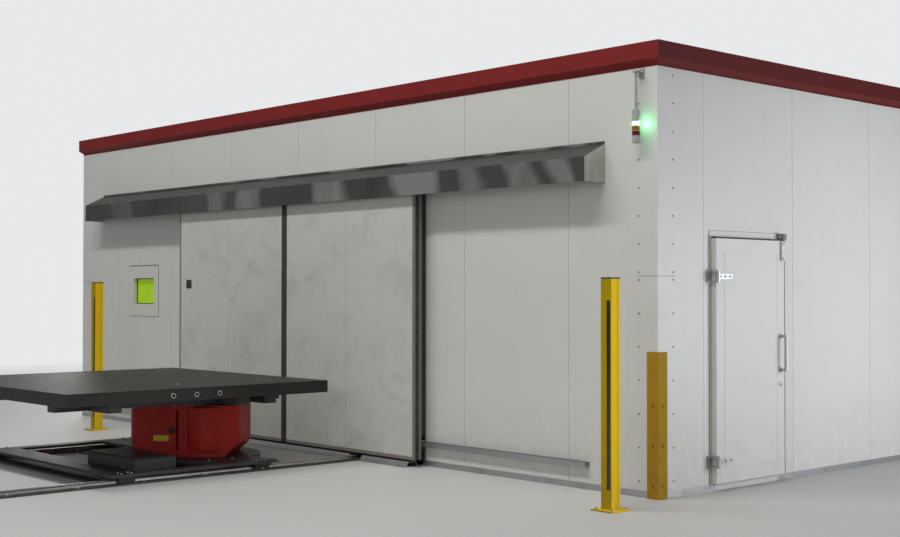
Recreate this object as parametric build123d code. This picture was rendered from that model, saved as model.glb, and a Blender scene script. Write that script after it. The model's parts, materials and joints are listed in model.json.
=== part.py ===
from build123d import *
import math
import os

# Fiber laser welding cell, in millimetres. The origin is the centre of the loading doorway on the
# floor, in the outer plane of the front wall: +X runs right along that wall, +Y into the cell, +Z up.

# Booth
BOOTH_LENGTH = 9120.0
BOOTH_DEPTH = 6000.0
BOOTH_HEIGHT = 3435.0
PANEL_PITCH = 1220.0
WALL_THICKNESS = 80.0
ROOF_THICKNESS = 80.0
PANEL_JOINT = 3.0
TONGUE_DEPTH = 18.0
TONGUE_WIDTH = 20.0
TONGUE_PLAY = 0.5
SILL_SHEET = 3.0
SILL_HEIGHT = 50.0
SILL_PLAY = 0.5

# Red roof fascia
FASCIA_SHEET = 2.0
FASCIA_OVERHANG = 45.0
FASCIA_FACE = 132.0
FASCIA_RETURN = 38.0
FASCIA_LIP = 60.0
FASCIA_FOOT = 15.0
FASCIA_LENGTH = 3040.0

# Corner covers and guard
CORNER_FLANGE = 285.0
CORNER_SHEET = 2.0
CORNER_JOINT_HEIGHT = 1670.0
CORNER_JOINT = 2.0
GUARD_FLANGE = 100.0
GUARD_THICKNESS = 8.0
GUARD_HEIGHT = 1100.0

# Loading doorway and its sliding leaves
DOORWAY_WIDTH = 3800.0
DOORWAY_HEIGHT = 2400.0
LEAF_WIDTH = 1975.0
LEAF_THICKNESS = 85.0
LEAF_STANDOFF = 85.0
LEAF_BOTTOM = 65.0
LEAF_TOP = 2440.0
LEAF_FRAME = 30.0
LEAF_FRAME_WALL = 3.0
NOSE_WIDTH = 45.0
NOSE_GAP = 0.5
BRUSH_HEIGHT = 16.0
BRUSH_THICKNESS = 12.0
DOOR_TRAVEL = 1900.0
TRIM_WIDTH = 40.0
TRIM_THICKNESS = 6.0
SEAL_WIDTH = 30.0
SEAL_CLEARANCE = 0.5

# Hanging gear of the leaves
WHEEL_RADIUS = 45.0
WHEEL_ROOT_RADIUS = 39.0
WHEEL_WIDTH = 22.0
WHEEL_BORE_PLAY = 0.05
WHEEL_RAIL_GAP = 0.3
AXLE_RADIUS = 8.0
AXLE_COLLAR_RADIUS = 13.0
AXLE_COLLAR_GAP = 0.4
AXLE_HEIGHT = 2562.0
TRACK_BAR_THICKNESS = 8.0
TRACK_BAR_HEIGHT = 50.0
TRACK_SIDE_PLAY = 0.4
TRACK_LENGTH = 7940.0
TRACK_BRACKETS = 9
BRACKET_WIDTH = 60.0
BRACKET_PLATE = 10.0
HANGER_PLATE = 8.0
HANGER_WIDTH = 90.0
HANGER_FOOT = 10.0
HANGER_STEP_FROM_END = 330.0
GUIDE_RAIL_TOP = 220.0
GUIDE_RAIL_HEIGHT = 45.0
GUIDE_RAIL_DEPTH = 40.0
GUIDE_RAIL_WALL = 4.0
GUIDE_PIN_RADIUS = 15.0
GUIDE_ARM = 8.0
GUIDE_ARM_GAP = 5.0
GUIDE_FROM_EDGE = 45.0

# Hood over the doors
HOOD_LENGTH = 8084.0
HOOD_SECTIONS = 3
HOOD_PROJECTION = 240.0
HOOD_BOTTOM = 2400.0
HOOD_FOLD = 2588.0
HOOD_TOP = 2704.0
HOOD_SHEET = 2.0
HOOD_LIP = 18.0
HOOD_FLANGE = 16.0
HOOD_JOINT = 1.0

# Window in the left fixed wall
WINDOW_FROM_CORNER = 1510.0
WINDOW_CENTRE_Z = 1555.0
WINDOW_WIDTH = 460.0
WINDOW_HEIGHT = 300.0
WINDOW_BORDER_X = 100.0
WINDOW_BORDER_Z = 140.0
WINDOW_FLANGE = 6.0
WINDOW_LINER = 4.0
WINDOW_RECESS = 50.0
GLASS_THICKNESS = 8.0

# Service door in the right wall
SERVICE_CENTRE_Y = 1115.0
SERVICE_OPENING_WIDTH = 850.0
SERVICE_OPENING_TOP = 1930.0
SERVICE_FRAME_WIDTH = 60.0
SERVICE_HEADER = 100.0
SERVICE_FRAME_PLATE = 6.0
SERVICE_LINER = 4.0
SERVICE_OVERLAP = 40.0
SERVICE_LEAF_THICKNESS = 45.0
SERVICE_LEAF_GAP = 2.0
SERVICE_LEAF_BOTTOM = 60.0
SERVICE_BORDER = 105.0
SERVICE_SEAM = 3.0
HINGE_HEIGHTS = (232.0, 1672.0)
HINGE_PIN_RADIUS = 7.0
HINGE_BORE_PLAY = 0.05
HINGE_KNUCKLE_RADIUS = 14.0
HINGE_KNUCKLE_HEIGHT = 56.0
HINGE_EAR_HEIGHT = 20.0
HINGE_EAR_GAP = 0.3
HINGE_REACH = 27.0
HINGE_SETBACK = 10.0
STRAP_LENGTH = 200.0
STRAP_THICKNESS = 8.0
STRAP_HEIGHT = 44.0
HANDLE_LENGTH = 300.0
HANDLE_RADIUS = 12.0
HANDLE_STANDOFF = 55.0
HANDLE_HEIGHT = 1050.0
HANDLE_FROM_EDGE = 60.0
INTERLOCK_WIDTH = 46.0
INTERLOCK_HEIGHT = 54.0
INTERLOCK_DEPTH = 62.0
INTERLOCK_PAST_EDGE = 15.0
INTERLOCK_GAP = 6.0
ACTUATOR_WIDTH = 50.0
ACTUATOR_HEIGHT = 160.0
ACTUATOR_FROM_EDGE = 12.0
ACTUATOR_DEPTH = 16.0

# Signal light on the front wall
BEACON_FROM_CORNER = 145.0
BEACON_BRACKET_DROP = 230.0
BEACON_PLATE_WIDTH = 50.0
BEACON_PLATE_HEIGHT = 76.0
BEACON_REACH = 75.0
BEACON_DROP = 510.0
BEACON_RADIUS = 30.0
BEACON_HOUSING = 88.0
BEACON_LENS = 37.0
BEACON_CAP = 55.0
BEACON_POLE_RADIUS = 11.0

# Light curtain columns: centre X, centre Y
CURTAIN_PLACES = ((-2850.0, -700.0), (4640.0, -630.0))
CURTAIN_SIDE = 96.0
CURTAIN_HEIGHT = 1655.0
CURTAIN_WALL = 5.0
CURTAIN_SLOT = 35.0
CURTAIN_SLOT_OFFSET = 22.0
CURTAIN_SLOT_BOTTOM = 150.0
CURTAIN_SLOT_TOP = 1490.0
CURTAIN_GROOVE = 9.0
CURTAIN_GROOVE_DEPTH = 2.5
CURTAIN_GROOVE_OFFSET = 20.0
CURTAIN_FOOT = 200.0
CURTAIN_FOOT_PLATE = 12.0
CURTAIN_ANCHOR_SPACING = 150.0
CURTAIN_ANCHOR_RADIUS = 7.0

# Shuttle track on the floor
TRACK_GAUGE = 2300.0
TRACK_START = -3700.0
TRACK_END = 3500.0
TRACK_PLATE_WIDTH = 180.0
TRACK_PLATE = 15.0
TIE_WIDTH = 120.0
TIES_PER_SIDE = 4
TIE_FROM_END = 140.0
TIE_FROM_THRESHOLD = 670.0
RAIL_WIDTH = 34.0
RAIL_WAIST = 24.0
RAIL_HEIGHT = 30.0
STOP_LENGTH = 60.0
STOP_HEIGHT = 95.0
THRESHOLD_PLATE = 6.0
THRESHOLD_FRONT = -230.0
THRESHOLD_BACK = 120.0
DOOR_SILL_WALL = 4.0
DOOR_SILL_TOP = 45.0
DOOR_SILL_FRONT = -195.0
DOOR_SILL_BACK = -62.0
DOOR_SILL_SLOT = 60.0

# Shuttle: carriage, pedestal and table
TABLE_CENTRE_Y = -1890.0
TABLE_LENGTH_X = 2660.0
TABLE_LENGTH_Y = 2510.0
TABLE_TOP = 760.0
TABLE_SKIRT = 105.0
TABLE_PLATE = 25.0
TABLE_SKIRT_WALL = 20.0
TABLE_SIDE_HOLES = 3
TABLE_SIDE_PITCH = 220.0
TABLE_SIDE_OFFSET = -90.0
TABLE_SIDE_HOLE_RADIUS = 14.0
TABLE_RIB_WALL = 12.0
TABLE_RIBS = 2
TABLE_BORE_RADIUS = 14.0
FRAME_BEAM_HEIGHT = 80.0
FRAME_BEAM_WIDTH = 120.0
FRAME_BEAM_WALL = 6.0
FRAME_SPREAD = 1500.0
BLOCK_LENGTH = 140.0
BLOCK_WIDTH = 90.0
BLOCK_SPREAD = 1300.0
BLOCK_PLAY = 0.05
BLOCK_LIFT = 3.0
CARRIAGE_BOTTOM = 60.0
CARRIAGE_PLATE = 24.0
CARRIAGE_LENGTH_Y = 1600.0
CARRIAGE_BEAM = 260.0
PEDESTAL_X = 330.0
PEDESTAL_Y = -1420.0
PEDESTAL_TURN = 42.0
PEDESTAL_LENGTH = 1000.0
PEDESTAL_WIDTH = 560.0
PEDESTAL_CORNER = 110.0
PEDESTAL_CHAMFER = 130.0
PEDESTAL_DISC_RADIUS = 620.0
PEDESTAL_DISC = 20.0
PEDESTAL_DRUM_RADIUS = 210.0
PEDESTAL_FLANGE = 34.0
PEDESTAL_FLANGE_RADIUS = 330.0
COVER_SIZE = (820.0, 380.0, 96.0)
COVER_CENTRE = (640.0, -2200.0)

# Welding robot
ROBOT_X = 0.0
ROBOT_Y = 4700.0
RISER_HEIGHT = 400.0
RISER_RADIUS = 190.0
RISER_FOOT = 620.0
RISER_PLATE = 25.0
RISER_ANCHOR_SPACING = 520.0
RISER_ANCHOR_RADIUS = 11.0
BASE_HEIGHT = 200.0
BASE_FOOT = 440.0
BASE_FOOT_PLATE = 30.0
BASE_RADIUS = 180.0
TURRET_GAP = 0.3
TURRET_DISC = 60.0
TURRET_RADIUS = 190.0
SHOULDER_HEIGHT = 525.0
SHOULDER_FORWARD = 150.0
SHOULDER_RADIUS = 125.0
ARM_LENGTH = 790.0
ARM_THICKNESS = 110.0
ARM_LOWER_RADIUS = 118.0
ARM_UPPER_RADIUS = 96.0
ELBOW_RADIUS = 92.0
ELBOW_RISE = 215.0
ELBOW_SIDE = 60.0
ELBOW_WIDTH = 170.0
ELBOW_FRONT = 180.0
ELBOW_BACK = 230.0
FOREARM_REACH = 835.0
FOREARM_ROOT_RADIUS = 86.0
FOREARM_TIP_RADIUS = 66.0
WRIST_RADIUS = 52.0
WRIST_WIDTH = 84.0
WRIST_CHEEK = 24.0
WRIST_DROP = 100.0
WRIST_AXLE_RADIUS = 16.0
JOINT_GAP = 0.3
TOOL_FLANGE_RADIUS = 40.0
TOOL_FLANGE = 22.0
HEAD_WIDTH = 96.0
HEAD_DEPTH = 110.0
HEAD_LENGTH = 300.0
COLLIMATOR_RADIUS = 34.0
COLLIMATOR_LENGTH = 190.0
NOZZLE_LENGTH = 130.0
NOZZLE_TIP_RADIUS = 7.0

# Derived places
HALF_LENGTH = BOOTH_LENGTH / 2
HALF_DOORWAY = DOORWAY_WIDTH / 2
WINDOW_CENTRE_X = -(HALF_LENGTH - WINDOW_FROM_CORNER)
BEACON_X = HALF_LENGTH - BEACON_FROM_CORNER
BEACON_BRACKET_HEIGHT = BOOTH_HEIGHT - BEACON_BRACKET_DROP
BEACON_TOP = BOOTH_HEIGHT - BEACON_DROP
ROOF_TOP = BOOTH_HEIGHT - FASCIA_SHEET
WALL_TOP = ROOF_TOP - ROOF_THICKNESS
PANEL_BASE = SILL_SHEET
LEAF_BACK = -LEAF_STANDOFF
LEAF_FRONT = -(LEAF_STANDOFF + LEAF_THICKNESS)
TRACK_Y = (LEAF_BACK + LEAF_FRONT) / 2
TRACK_TOP = AXLE_HEIGHT - WHEEL_ROOT_RADIUS - WHEEL_RAIL_GAP
RAIL_TOP = TRACK_PLATE + RAIL_HEIGHT
PEDESTAL_BOTTOM = CARRIAGE_BOTTOM + CARRIAGE_PLATE
FRAME_TOP = TABLE_TOP - TABLE_SKIRT
FRAME_BOTTOM = FRAME_TOP - FRAME_BEAM_HEIGHT
ROBOT_BASE_Z = RISER_HEIGHT
TURRET_Z = ROBOT_BASE_Z + BASE_HEIGHT
SHOULDER_Y = ROBOT_Y - SHOULDER_FORWARD
SHOULDER_Z = ROBOT_BASE_Z + SHOULDER_HEIGHT
ELBOW_Z = SHOULDER_Z + ARM_LENGTH
FOREARM_Z = ELBOW_Z + ELBOW_RISE
WRIST_Y = SHOULDER_Y - FOREARM_REACH
FLANGE_Z = FOREARM_Z - WRIST_DROP


def box(low, high):
    """A block between two opposite corners."""
    size = [b - a for a, b in zip(low, high)]
    middle = [(a + b) / 2 for a, b in zip(low, high)]
    return Pos(*middle) * Box(*size)


def prism(axis, outline, start, end):
    """A closed outline swept straight along x, y or z; its points give the other two coordinates."""
    place = {
        "x": lambda a, b: (start, a, b),
        "y": lambda a, b: (a, start, b),
        "z": lambda a, b: (a, b, start),
    }[axis]
    direction = {"x": Vector(1, 0, 0), "y": Vector(0, 1, 0), "z": Vector(0, 0, 1)}[axis]
    face = Face(Wire.make_polygon([Vector(*place(a, b)) for a, b in outline]))
    return extrude(face, amount=end - start, dir=direction)


def rod(axis, centre, radius, start, end):
    """A round bar along x, y or z; centre gives the other two coordinates."""
    a, b = centre
    origin = {"x": (start, a, b), "y": (a, start, b), "z": (a, b, start)}[axis]
    normal = {"x": (1, 0, 0), "y": (0, 1, 0), "z": (0, 0, 1)}[axis]
    disc = Plane(origin=origin, z_dir=normal) * Circle(radius)
    return extrude(disc, amount=end - start)


def folded(points, thickness):
    """The outline of a folded sheet: an open path of bends, thickened to its left."""
    shifted = []
    for i, point in enumerate(points):
        before = points[max(i - 1, 0)]
        after = points[min(i + 1, len(points) - 1)]
        normals = []
        for a, b in ((before, point), (point, after)):
            length = math.dist(a, b)
            if length > 0:
                normals.append((-(b[1] - a[1]) / length, (b[0] - a[0]) / length))
        nx = sum(n[0] for n in normals) / len(normals)
        ny = sum(n[1] for n in normals) / len(normals)
        scale = thickness / (nx * nx + ny * ny)
        shifted.append((point[0] + nx * scale, point[1] + ny * scale))
    return list(points) + shifted[::-1]


def mirrored(shape):
    """The same piece on the other side of the doorway's centre."""
    return shape.mirror(Plane.YZ)


def save(shapes, name):
    """Writes one node, a single solid or a group of separate solids."""
    group = shapes if isinstance(shapes, list) else [shapes]
    solids = [solid for shape in group for solid in shape.solids()]
    export_step(solids[0] if len(solids) == 1 else Compound(solids), f"parts/{name}.step")


def bays(low, high):
    """Panel edges between two ends, with a joint at the middle and one at each panel pitch from it."""
    middle = (low + high) / 2
    count = math.ceil((middle - low) / PANEL_PITCH)
    inner = [middle + k * PANEL_PITCH for k in range(-count, count + 1)]
    edges = [low] + [edge for edge in inner if low + PANEL_JOINT < edge < high - PANEL_JOINT] + [high]
    return list(zip(edges[:-1], edges[1:]))


def panel_outline(start, end, face, thickness, first, last):
    """Plan of one insulated panel, with a groove at its start and a tongue at its end."""
    a = start + (0 if first else PANEL_JOINT / 2)
    b = end - (0 if last else PANEL_JOINT / 2)
    back = face + thickness
    middle = face + thickness / 2
    half_tongue = TONGUE_WIDTH / 2
    half_groove = half_tongue + TONGUE_PLAY
    tip = b + TONGUE_DEPTH
    root = a + TONGUE_DEPTH - PANEL_JOINT + TONGUE_PLAY
    outline = [(a, face), (b, face)]
    if not last:
        outline += [
            (b, middle - half_tongue),
            (tip, middle - half_tongue),
            (tip, middle + half_tongue),
            (b, middle + half_tongue),
        ]
    outline += [(b, back), (a, back)]
    if not first:
        outline += [
            (a, middle + half_groove),
            (root, middle + half_groove),
            (root, middle - half_groove),
            (a, middle - half_groove),
        ]
    return outline


def panel_row(edges, face, thickness, along="x"):
    """A row of panels that stand side by side on the sill channel, up to the roof."""
    panels = []
    for i, (start, end) in enumerate(edges):
        outline = panel_outline(start, end, face, thickness, i == 0, i == len(edges) - 1)
        if along == "y":
            outline = [(b, a) for a, b in outline]
        panels.append(prism("z", outline, PANEL_BASE, WALL_TOP))
    return panels


def build_walls():
    side_low = WALL_THICKNESS + SILL_PLAY + SILL_SHEET
    side_high = BOOTH_DEPTH - side_low
    rear_face = BOOTH_DEPTH - WALL_THICKNESS
    doorway = box(
        (-HALF_DOORWAY, -1, -1),
        (HALF_DOORWAY, WALL_THICKNESS + 1, DOORWAY_HEIGHT),
    )
    window_half_x = WINDOW_WIDTH / 2 + WINDOW_LINER
    window_half_z = WINDOW_HEIGHT / 2 + WINDOW_LINER
    window = box(
        (WINDOW_CENTRE_X - window_half_x, -1, WINDOW_CENTRE_Z - window_half_z),
        (WINDOW_CENTRE_X + window_half_x, WALL_THICKNESS + 1, WINDOW_CENTRE_Z + window_half_z),
    )
    front = panel_row(bays(-HALF_LENGTH, HALF_LENGTH), 0, WALL_THICKNESS)
    save([panel - doorway - window for panel in front], "front_wall_panels")
    rear = panel_row(bays(-HALF_LENGTH, HALF_LENGTH), rear_face, WALL_THICKNESS)
    save(rear, "rear_wall_panels")
    left = panel_row(bays(side_low, side_high), -HALF_LENGTH, WALL_THICKNESS, "y")
    save(left, "left_wall_panels")
    service = box(
        (HALF_LENGTH - WALL_THICKNESS - 1, SERVICE_CENTRE_Y - SERVICE_OPENING_WIDTH / 2, -1),
        (HALF_LENGTH + 1, SERVICE_CENTRE_Y + SERVICE_OPENING_WIDTH / 2, SERVICE_OPENING_TOP),
    )
    right = panel_row(bays(side_low, side_high), HALF_LENGTH - WALL_THICKNESS, WALL_THICKNESS, "y")
    save([panel - service for panel in right], "right_wall_panels")


def sill_outline(face):
    """Section of the floor channel that holds the panels of a wall whose low face is given."""
    low = face - SILL_PLAY - SILL_SHEET
    high = face + WALL_THICKNESS + SILL_PLAY + SILL_SHEET
    return [
        (low, 0),
        (high, 0),
        (high, SILL_HEIGHT),
        (high - SILL_SHEET, SILL_HEIGHT),
        (high - SILL_SHEET, SILL_SHEET),
        (low + SILL_SHEET, SILL_SHEET),
        (low + SILL_SHEET, SILL_HEIGHT),
        (low, SILL_HEIGHT),
    ]


def build_sills():
    reach = SILL_PLAY + SILL_SHEET
    end_x = HALF_LENGTH + reach
    rear_face = BOOTH_DEPTH - WALL_THICKNESS
    side_start = WALL_THICKNESS + reach
    side_end = rear_face - reach
    service_low = SERVICE_CENTRE_Y - SERVICE_OPENING_WIDTH / 2
    service_high = SERVICE_CENTRE_Y + SERVICE_OPENING_WIDTH / 2
    right_face = HALF_LENGTH - WALL_THICKNESS
    runs = [
        prism("x", sill_outline(0), -end_x, -HALF_DOORWAY),
        prism("x", sill_outline(0), HALF_DOORWAY, end_x),
        prism("x", sill_outline(rear_face), -end_x, end_x),
        prism("y", sill_outline(-HALF_LENGTH), side_start, side_end),
        prism("y", sill_outline(right_face), side_start, service_low),
        prism("y", sill_outline(right_face), service_high, side_end),
    ]
    save(runs, "sill_channels")


def build_roof():
    edges = bays(-HALF_LENGTH, HALF_LENGTH)
    panels = []
    for i, (start, end) in enumerate(edges):
        outline = panel_outline(start, end, WALL_TOP, ROOF_THICKNESS, i == 0, i == len(edges) - 1)
        panels.append(prism("y", outline, 0, BOOTH_DEPTH))
    save(panels, "roof_panels")


def build_joists():
    """Four rectangular tubes with end plates, under the roof panels."""
    height = 120.0
    width = 80.0
    wall = 5.0
    plate = 8.0
    plate_margin = 30.0
    inside_front = WALL_THICKNESS
    inside_back = BOOTH_DEPTH - WALL_THICKNESS
    joists = []
    for x in (-3 * PANEL_PITCH, -PANEL_PITCH, PANEL_PITCH, 3 * PANEL_PITCH):
        tube = box((x - width / 2, inside_front, WALL_TOP - height), (x + width / 2, inside_back, WALL_TOP))
        core = box(
            (x - width / 2 + wall, inside_front + plate, WALL_TOP - height + wall),
            (x + width / 2 - wall, inside_back - plate, WALL_TOP - wall),
        )
        ends = [
            box(
                (x - width / 2 - plate_margin, y, WALL_TOP - height - plate_margin),
                (x + width / 2 + plate_margin, y + plate, WALL_TOP),
            )
            for y in (inside_front, inside_back - plate)
        ]
        joists.append(tube - core + ends[0] + ends[1])
    save(joists, "roof_joists")


def build_fascia():
    """Folded sheet round the roof's edge, mitred at the corners and jointed along its sides."""
    def section(outward):
        """Section across one side; outward gives the coordinate at a distance outside the wall."""
        path = [
            (-FASCIA_LIP, BOOTH_HEIGHT),
            (FASCIA_OVERHANG, BOOTH_HEIGHT),
            (FASCIA_OVERHANG, BOOTH_HEIGHT - FASCIA_FACE),
            (FASCIA_SHEET, BOOTH_HEIGHT - FASCIA_FACE - FASCIA_RETURN),
            (FASCIA_SHEET, BOOTH_HEIGHT - FASCIA_FACE - FASCIA_RETURN - FASCIA_FOOT),
        ]
        outline = folded(path, -FASCIA_SHEET)
        return [(outward(a), z) for a, z in outline]

    low = BOOTH_HEIGHT - FASCIA_FACE - FASCIA_RETURN - FASCIA_FOOT - 1
    high = BOOTH_HEIGHT + 1
    x_out = HALF_LENGTH + FASCIA_OVERHANG
    y_low = -FASCIA_OVERHANG
    y_high = BOOTH_DEPTH + FASCIA_OVERHANG
    inset = FASCIA_OVERHANG + FASCIA_LIP
    gap = 0.5
    x_in = x_out - inset
    front_plan = [
        (-x_out + gap, y_low),
        (x_out - gap, y_low),
        (x_in, y_low + inset - gap),
        (-x_in, y_low + inset - gap),
    ]
    rear_plan = [(x, BOOTH_DEPTH - y) for x, y in front_plan]
    right_plan = [
        (x_out, y_low + gap),
        (x_out, y_high - gap),
        (x_in + gap, y_high - inset),
        (x_in + gap, y_low + inset),
    ]
    left_plan = [(-x, y) for x, y in right_plan]
    sides = [
        (prism("x", section(lambda a: -a), -x_out, x_out), front_plan),
        (prism("x", section(lambda a: BOOTH_DEPTH + a), -x_out, x_out), rear_plan),
        (prism("y", section(lambda a: -HALF_LENGTH - a), y_low, y_high), left_plan),
        (prism("y", section(lambda a: HALF_LENGTH + a), y_low, y_high), right_plan),
    ]
    pieces = [side & prism("z", plan, low, high) for side, plan in sides]
    joints = [
        box((x - gap, y_low - 1, low), (x + gap, y_high + 1, high))
        for x in (-FASCIA_LENGTH / 2, FASCIA_LENGTH / 2, FASCIA_LENGTH * 1.25)
    ]
    for joint in joints:
        pieces = [piece - joint for piece in pieces[:2]] + pieces[2:]
    save(pieces, "roof_fascia")


def build_corners():
    """Screwed corner covers in two lengths, and the floor-standing guard at the near corner."""
    fascia_foot = BOOTH_HEIGHT - FASCIA_FACE - FASCIA_RETURN - FASCIA_FOOT
    lengths = [
        (SILL_HEIGHT + CORNER_JOINT, CORNER_JOINT_HEIGHT),
        (CORNER_JOINT_HEIGHT + CORNER_JOINT, fascia_foot - CORNER_JOINT),
    ]
    covers = []
    for x, sx in ((HALF_LENGTH, 1), (-HALF_LENGTH, -1)):
        for y, sy in ((0, 1), (BOOTH_DEPTH, -1)):
            path = [(x - sx * CORNER_FLANGE, y), (x, y), (x, y + sy * CORNER_FLANGE)]
            outline = folded(path, -sx * sy * CORNER_SHEET)
            for low, high in lengths:
                covers.append(prism("z", outline, low, high))
    save(covers, "corner_trims")
    face = SILL_PLAY + SILL_SHEET
    corner_x = HALF_LENGTH + face
    path = [(corner_x - GUARD_FLANGE, -face), (corner_x, -face), (corner_x, GUARD_FLANGE - face)]
    save(prism("z", folded(path, -GUARD_THICKNESS), 0, GUARD_HEIGHT), "corner_guard")


def hood_path(inset=0.0):
    """The hood's outer line from the wall flange to the lip, in Y and Z."""
    front = -(HOOD_PROJECTION - inset)
    return [
        (-inset, HOOD_TOP + HOOD_FLANGE),
        (-inset, HOOD_TOP - inset),
        (front, HOOD_FOLD - inset),
        (front, HOOD_BOTTOM + inset),
        (front + HOOD_LIP, HOOD_BOTTOM + inset),
    ]


def build_hood():
    """Three folded lengths of hood and a plate at each end."""
    step = HOOD_LENGTH / HOOD_SECTIONS
    half = HOOD_LENGTH / 2
    path = hood_path()
    path[0] = (-HOOD_SHEET, path[0][1])
    path[1] = (-HOOD_SHEET, path[1][1])
    outline = folded(path, HOOD_SHEET)
    sections = [
        prism("x", outline, -half + i * step + HOOD_JOINT, -half + (i + 1) * step - HOOD_JOINT)
        for i in range(HOOD_SECTIONS)
    ]
    end_outline = [
        (0, HOOD_TOP),
        (-HOOD_PROJECTION, HOOD_FOLD),
        (-HOOD_PROJECTION, HOOD_BOTTOM),
        (0, HOOD_BOTTOM),
    ]
    start = half - HOOD_JOINT
    right_end = prism("x", end_outline, start, start + HOOD_SHEET)
    save(sections + [right_end, mirrored(right_end)], "door_hood")


def build_door_track():
    """Flat bar that the grooved wheels run on, welded to brackets on the wall."""
    half = TRACK_LENGTH / 2
    bar_back = TRACK_Y + TRACK_BAR_THICKNESS / 2
    bar_front = TRACK_Y - TRACK_BAR_THICKNESS / 2
    bottom = TRACK_TOP - TRACK_BAR_HEIGHT
    track = box((-half, bar_front, bottom), (half, bar_back, TRACK_TOP))
    foot_height = 90.0
    arm_top = bottom + 30.0
    pitch = (TRACK_LENGTH - BRACKET_WIDTH) / (TRACK_BRACKETS - 1)
    for i in range(TRACK_BRACKETS):
        x = -half + BRACKET_WIDTH / 2 + i * pitch
        outline = [
            (0, bottom - BRACKET_PLATE),
            (0, bottom + foot_height),
            (-BRACKET_PLATE, bottom + foot_height),
            (-BRACKET_PLATE, arm_top + 20),
            (bar_back, arm_top),
            (bar_back, bottom),
            (-BRACKET_PLATE * 3, bottom - BRACKET_PLATE),
        ]
        track += prism("x", outline, x - BRACKET_WIDTH / 2, x + BRACKET_WIDTH / 2)
    save(track, "door_track")


def build_doorway():
    """Trim strips round the doorway on the outer wall face, and the light-tight seals on them."""
    outer = HALF_DOORWAY + TRIM_WIDTH
    head = DOORWAY_HEIGHT + TRIM_WIDTH
    jamb = box((HALF_DOORWAY, -TRIM_THICKNESS, SILL_HEIGHT), (outer, 0, head))
    top = box((-HALF_DOORWAY, -TRIM_THICKNESS, DOORWAY_HEIGHT), (HALF_DOORWAY, 0, head))
    save([jamb, mirrored(jamb), top], "doorway_trim")
    seal_back = -TRIM_THICKNESS
    seal_front = LEAF_BACK + SEAL_CLEARANCE
    seal_low = GUIDE_RAIL_TOP + 40
    middle = HALF_DOORWAY + TRIM_WIDTH / 2
    side = box(
        (middle - SEAL_WIDTH / 2, seal_front, seal_low),
        (middle + SEAL_WIDTH / 2, seal_back, DOORWAY_HEIGHT),
    )
    seal_end = middle + SEAL_WIDTH / 2
    over = box(
        (-seal_end, seal_front, DOORWAY_HEIGHT),
        (seal_end, seal_back, DOORWAY_HEIGHT + SEAL_WIDTH),
    )
    save([side, mirrored(side), over], "doorway_seals")


def build_guide_rails():
    """Channels low on the wall where the leaves park, that hold the leaves' guide pins."""
    start = HALF_DOORWAY + TRIM_WIDTH / 2 - GUIDE_PIN_RADIUS * 2
    end = start + GUIDE_PIN_RADIUS * 3 + DOOR_TRAVEL + GUIDE_FROM_EDGE
    bottom = GUIDE_RAIL_TOP - GUIDE_RAIL_HEIGHT
    back = -TRIM_THICKNESS
    path = [
        (back, GUIDE_RAIL_TOP),
        (back, bottom),
        (back - GUIDE_RAIL_DEPTH - 2 * GUIDE_RAIL_WALL, bottom),
        (back - GUIDE_RAIL_DEPTH - 2 * GUIDE_RAIL_WALL, GUIDE_RAIL_TOP),
    ]
    outline = folded(path, -GUIDE_RAIL_WALL)
    rail = prism("x", outline, start, end)
    pads = 4
    pad_width = 60.0
    first = HALF_DOORWAY + TRIM_WIDTH
    pitch = (end - first - pad_width) / (pads - 1)
    for i in range(pads):
        x = first + i * pitch
        rail += box((x, back, bottom), (x + pad_width, 0, GUIDE_RAIL_TOP))
    save([rail, mirrored(rail)], "bottom_guide_rails")


def build_window():
    """A flanged liner through the wall, and the laser-safe pane set back in it."""
    half_x = WINDOW_WIDTH / 2
    half_z = WINDOW_HEIGHT / 2

    def block(margin_x, margin_z, back, front):
        return box(
            (WINDOW_CENTRE_X - half_x - margin_x, front, WINDOW_CENTRE_Z - half_z - margin_z),
            (WINDOW_CENTRE_X + half_x + margin_x, back, WINDOW_CENTRE_Z + half_z + margin_z),
        )

    flange = block(WINDOW_BORDER_X, WINDOW_BORDER_Z, 0, -WINDOW_FLANGE)
    inner_border = WINDOW_BORDER_X / 2
    inner_flange = block(inner_border, inner_border, WALL_THICKNESS + WINDOW_FLANGE, WALL_THICKNESS)
    liner = block(WINDOW_LINER, WINDOW_LINER, WALL_THICKNESS, 0)
    hole = block(0, 0, WALL_THICKNESS + WINDOW_FLANGE + 1, -WINDOW_FLANGE - 1)
    save(flange + liner + inner_flange - hole, "window_frame")
    glass_front = WINDOW_RECESS - WINDOW_FLANGE
    save(block(0, 0, glass_front + GLASS_THICKNESS, glass_front), "window_glass")


def service_edges():
    """Low and high Y of the service doorway and of its leaf."""
    low = SERVICE_CENTRE_Y - SERVICE_OPENING_WIDTH / 2
    high = SERVICE_CENTRE_Y + SERVICE_OPENING_WIDTH / 2
    return low, high, low - SERVICE_OVERLAP, high + SERVICE_OVERLAP


def hinge_axis():
    """X and Y of the service door's hinge pins."""
    leaf_face = HALF_LENGTH + SERVICE_FRAME_PLATE + SERVICE_LEAF_GAP + SERVICE_LEAF_THICKNESS
    return leaf_face + HINGE_REACH, service_edges()[2] - HINGE_SETBACK


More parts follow.
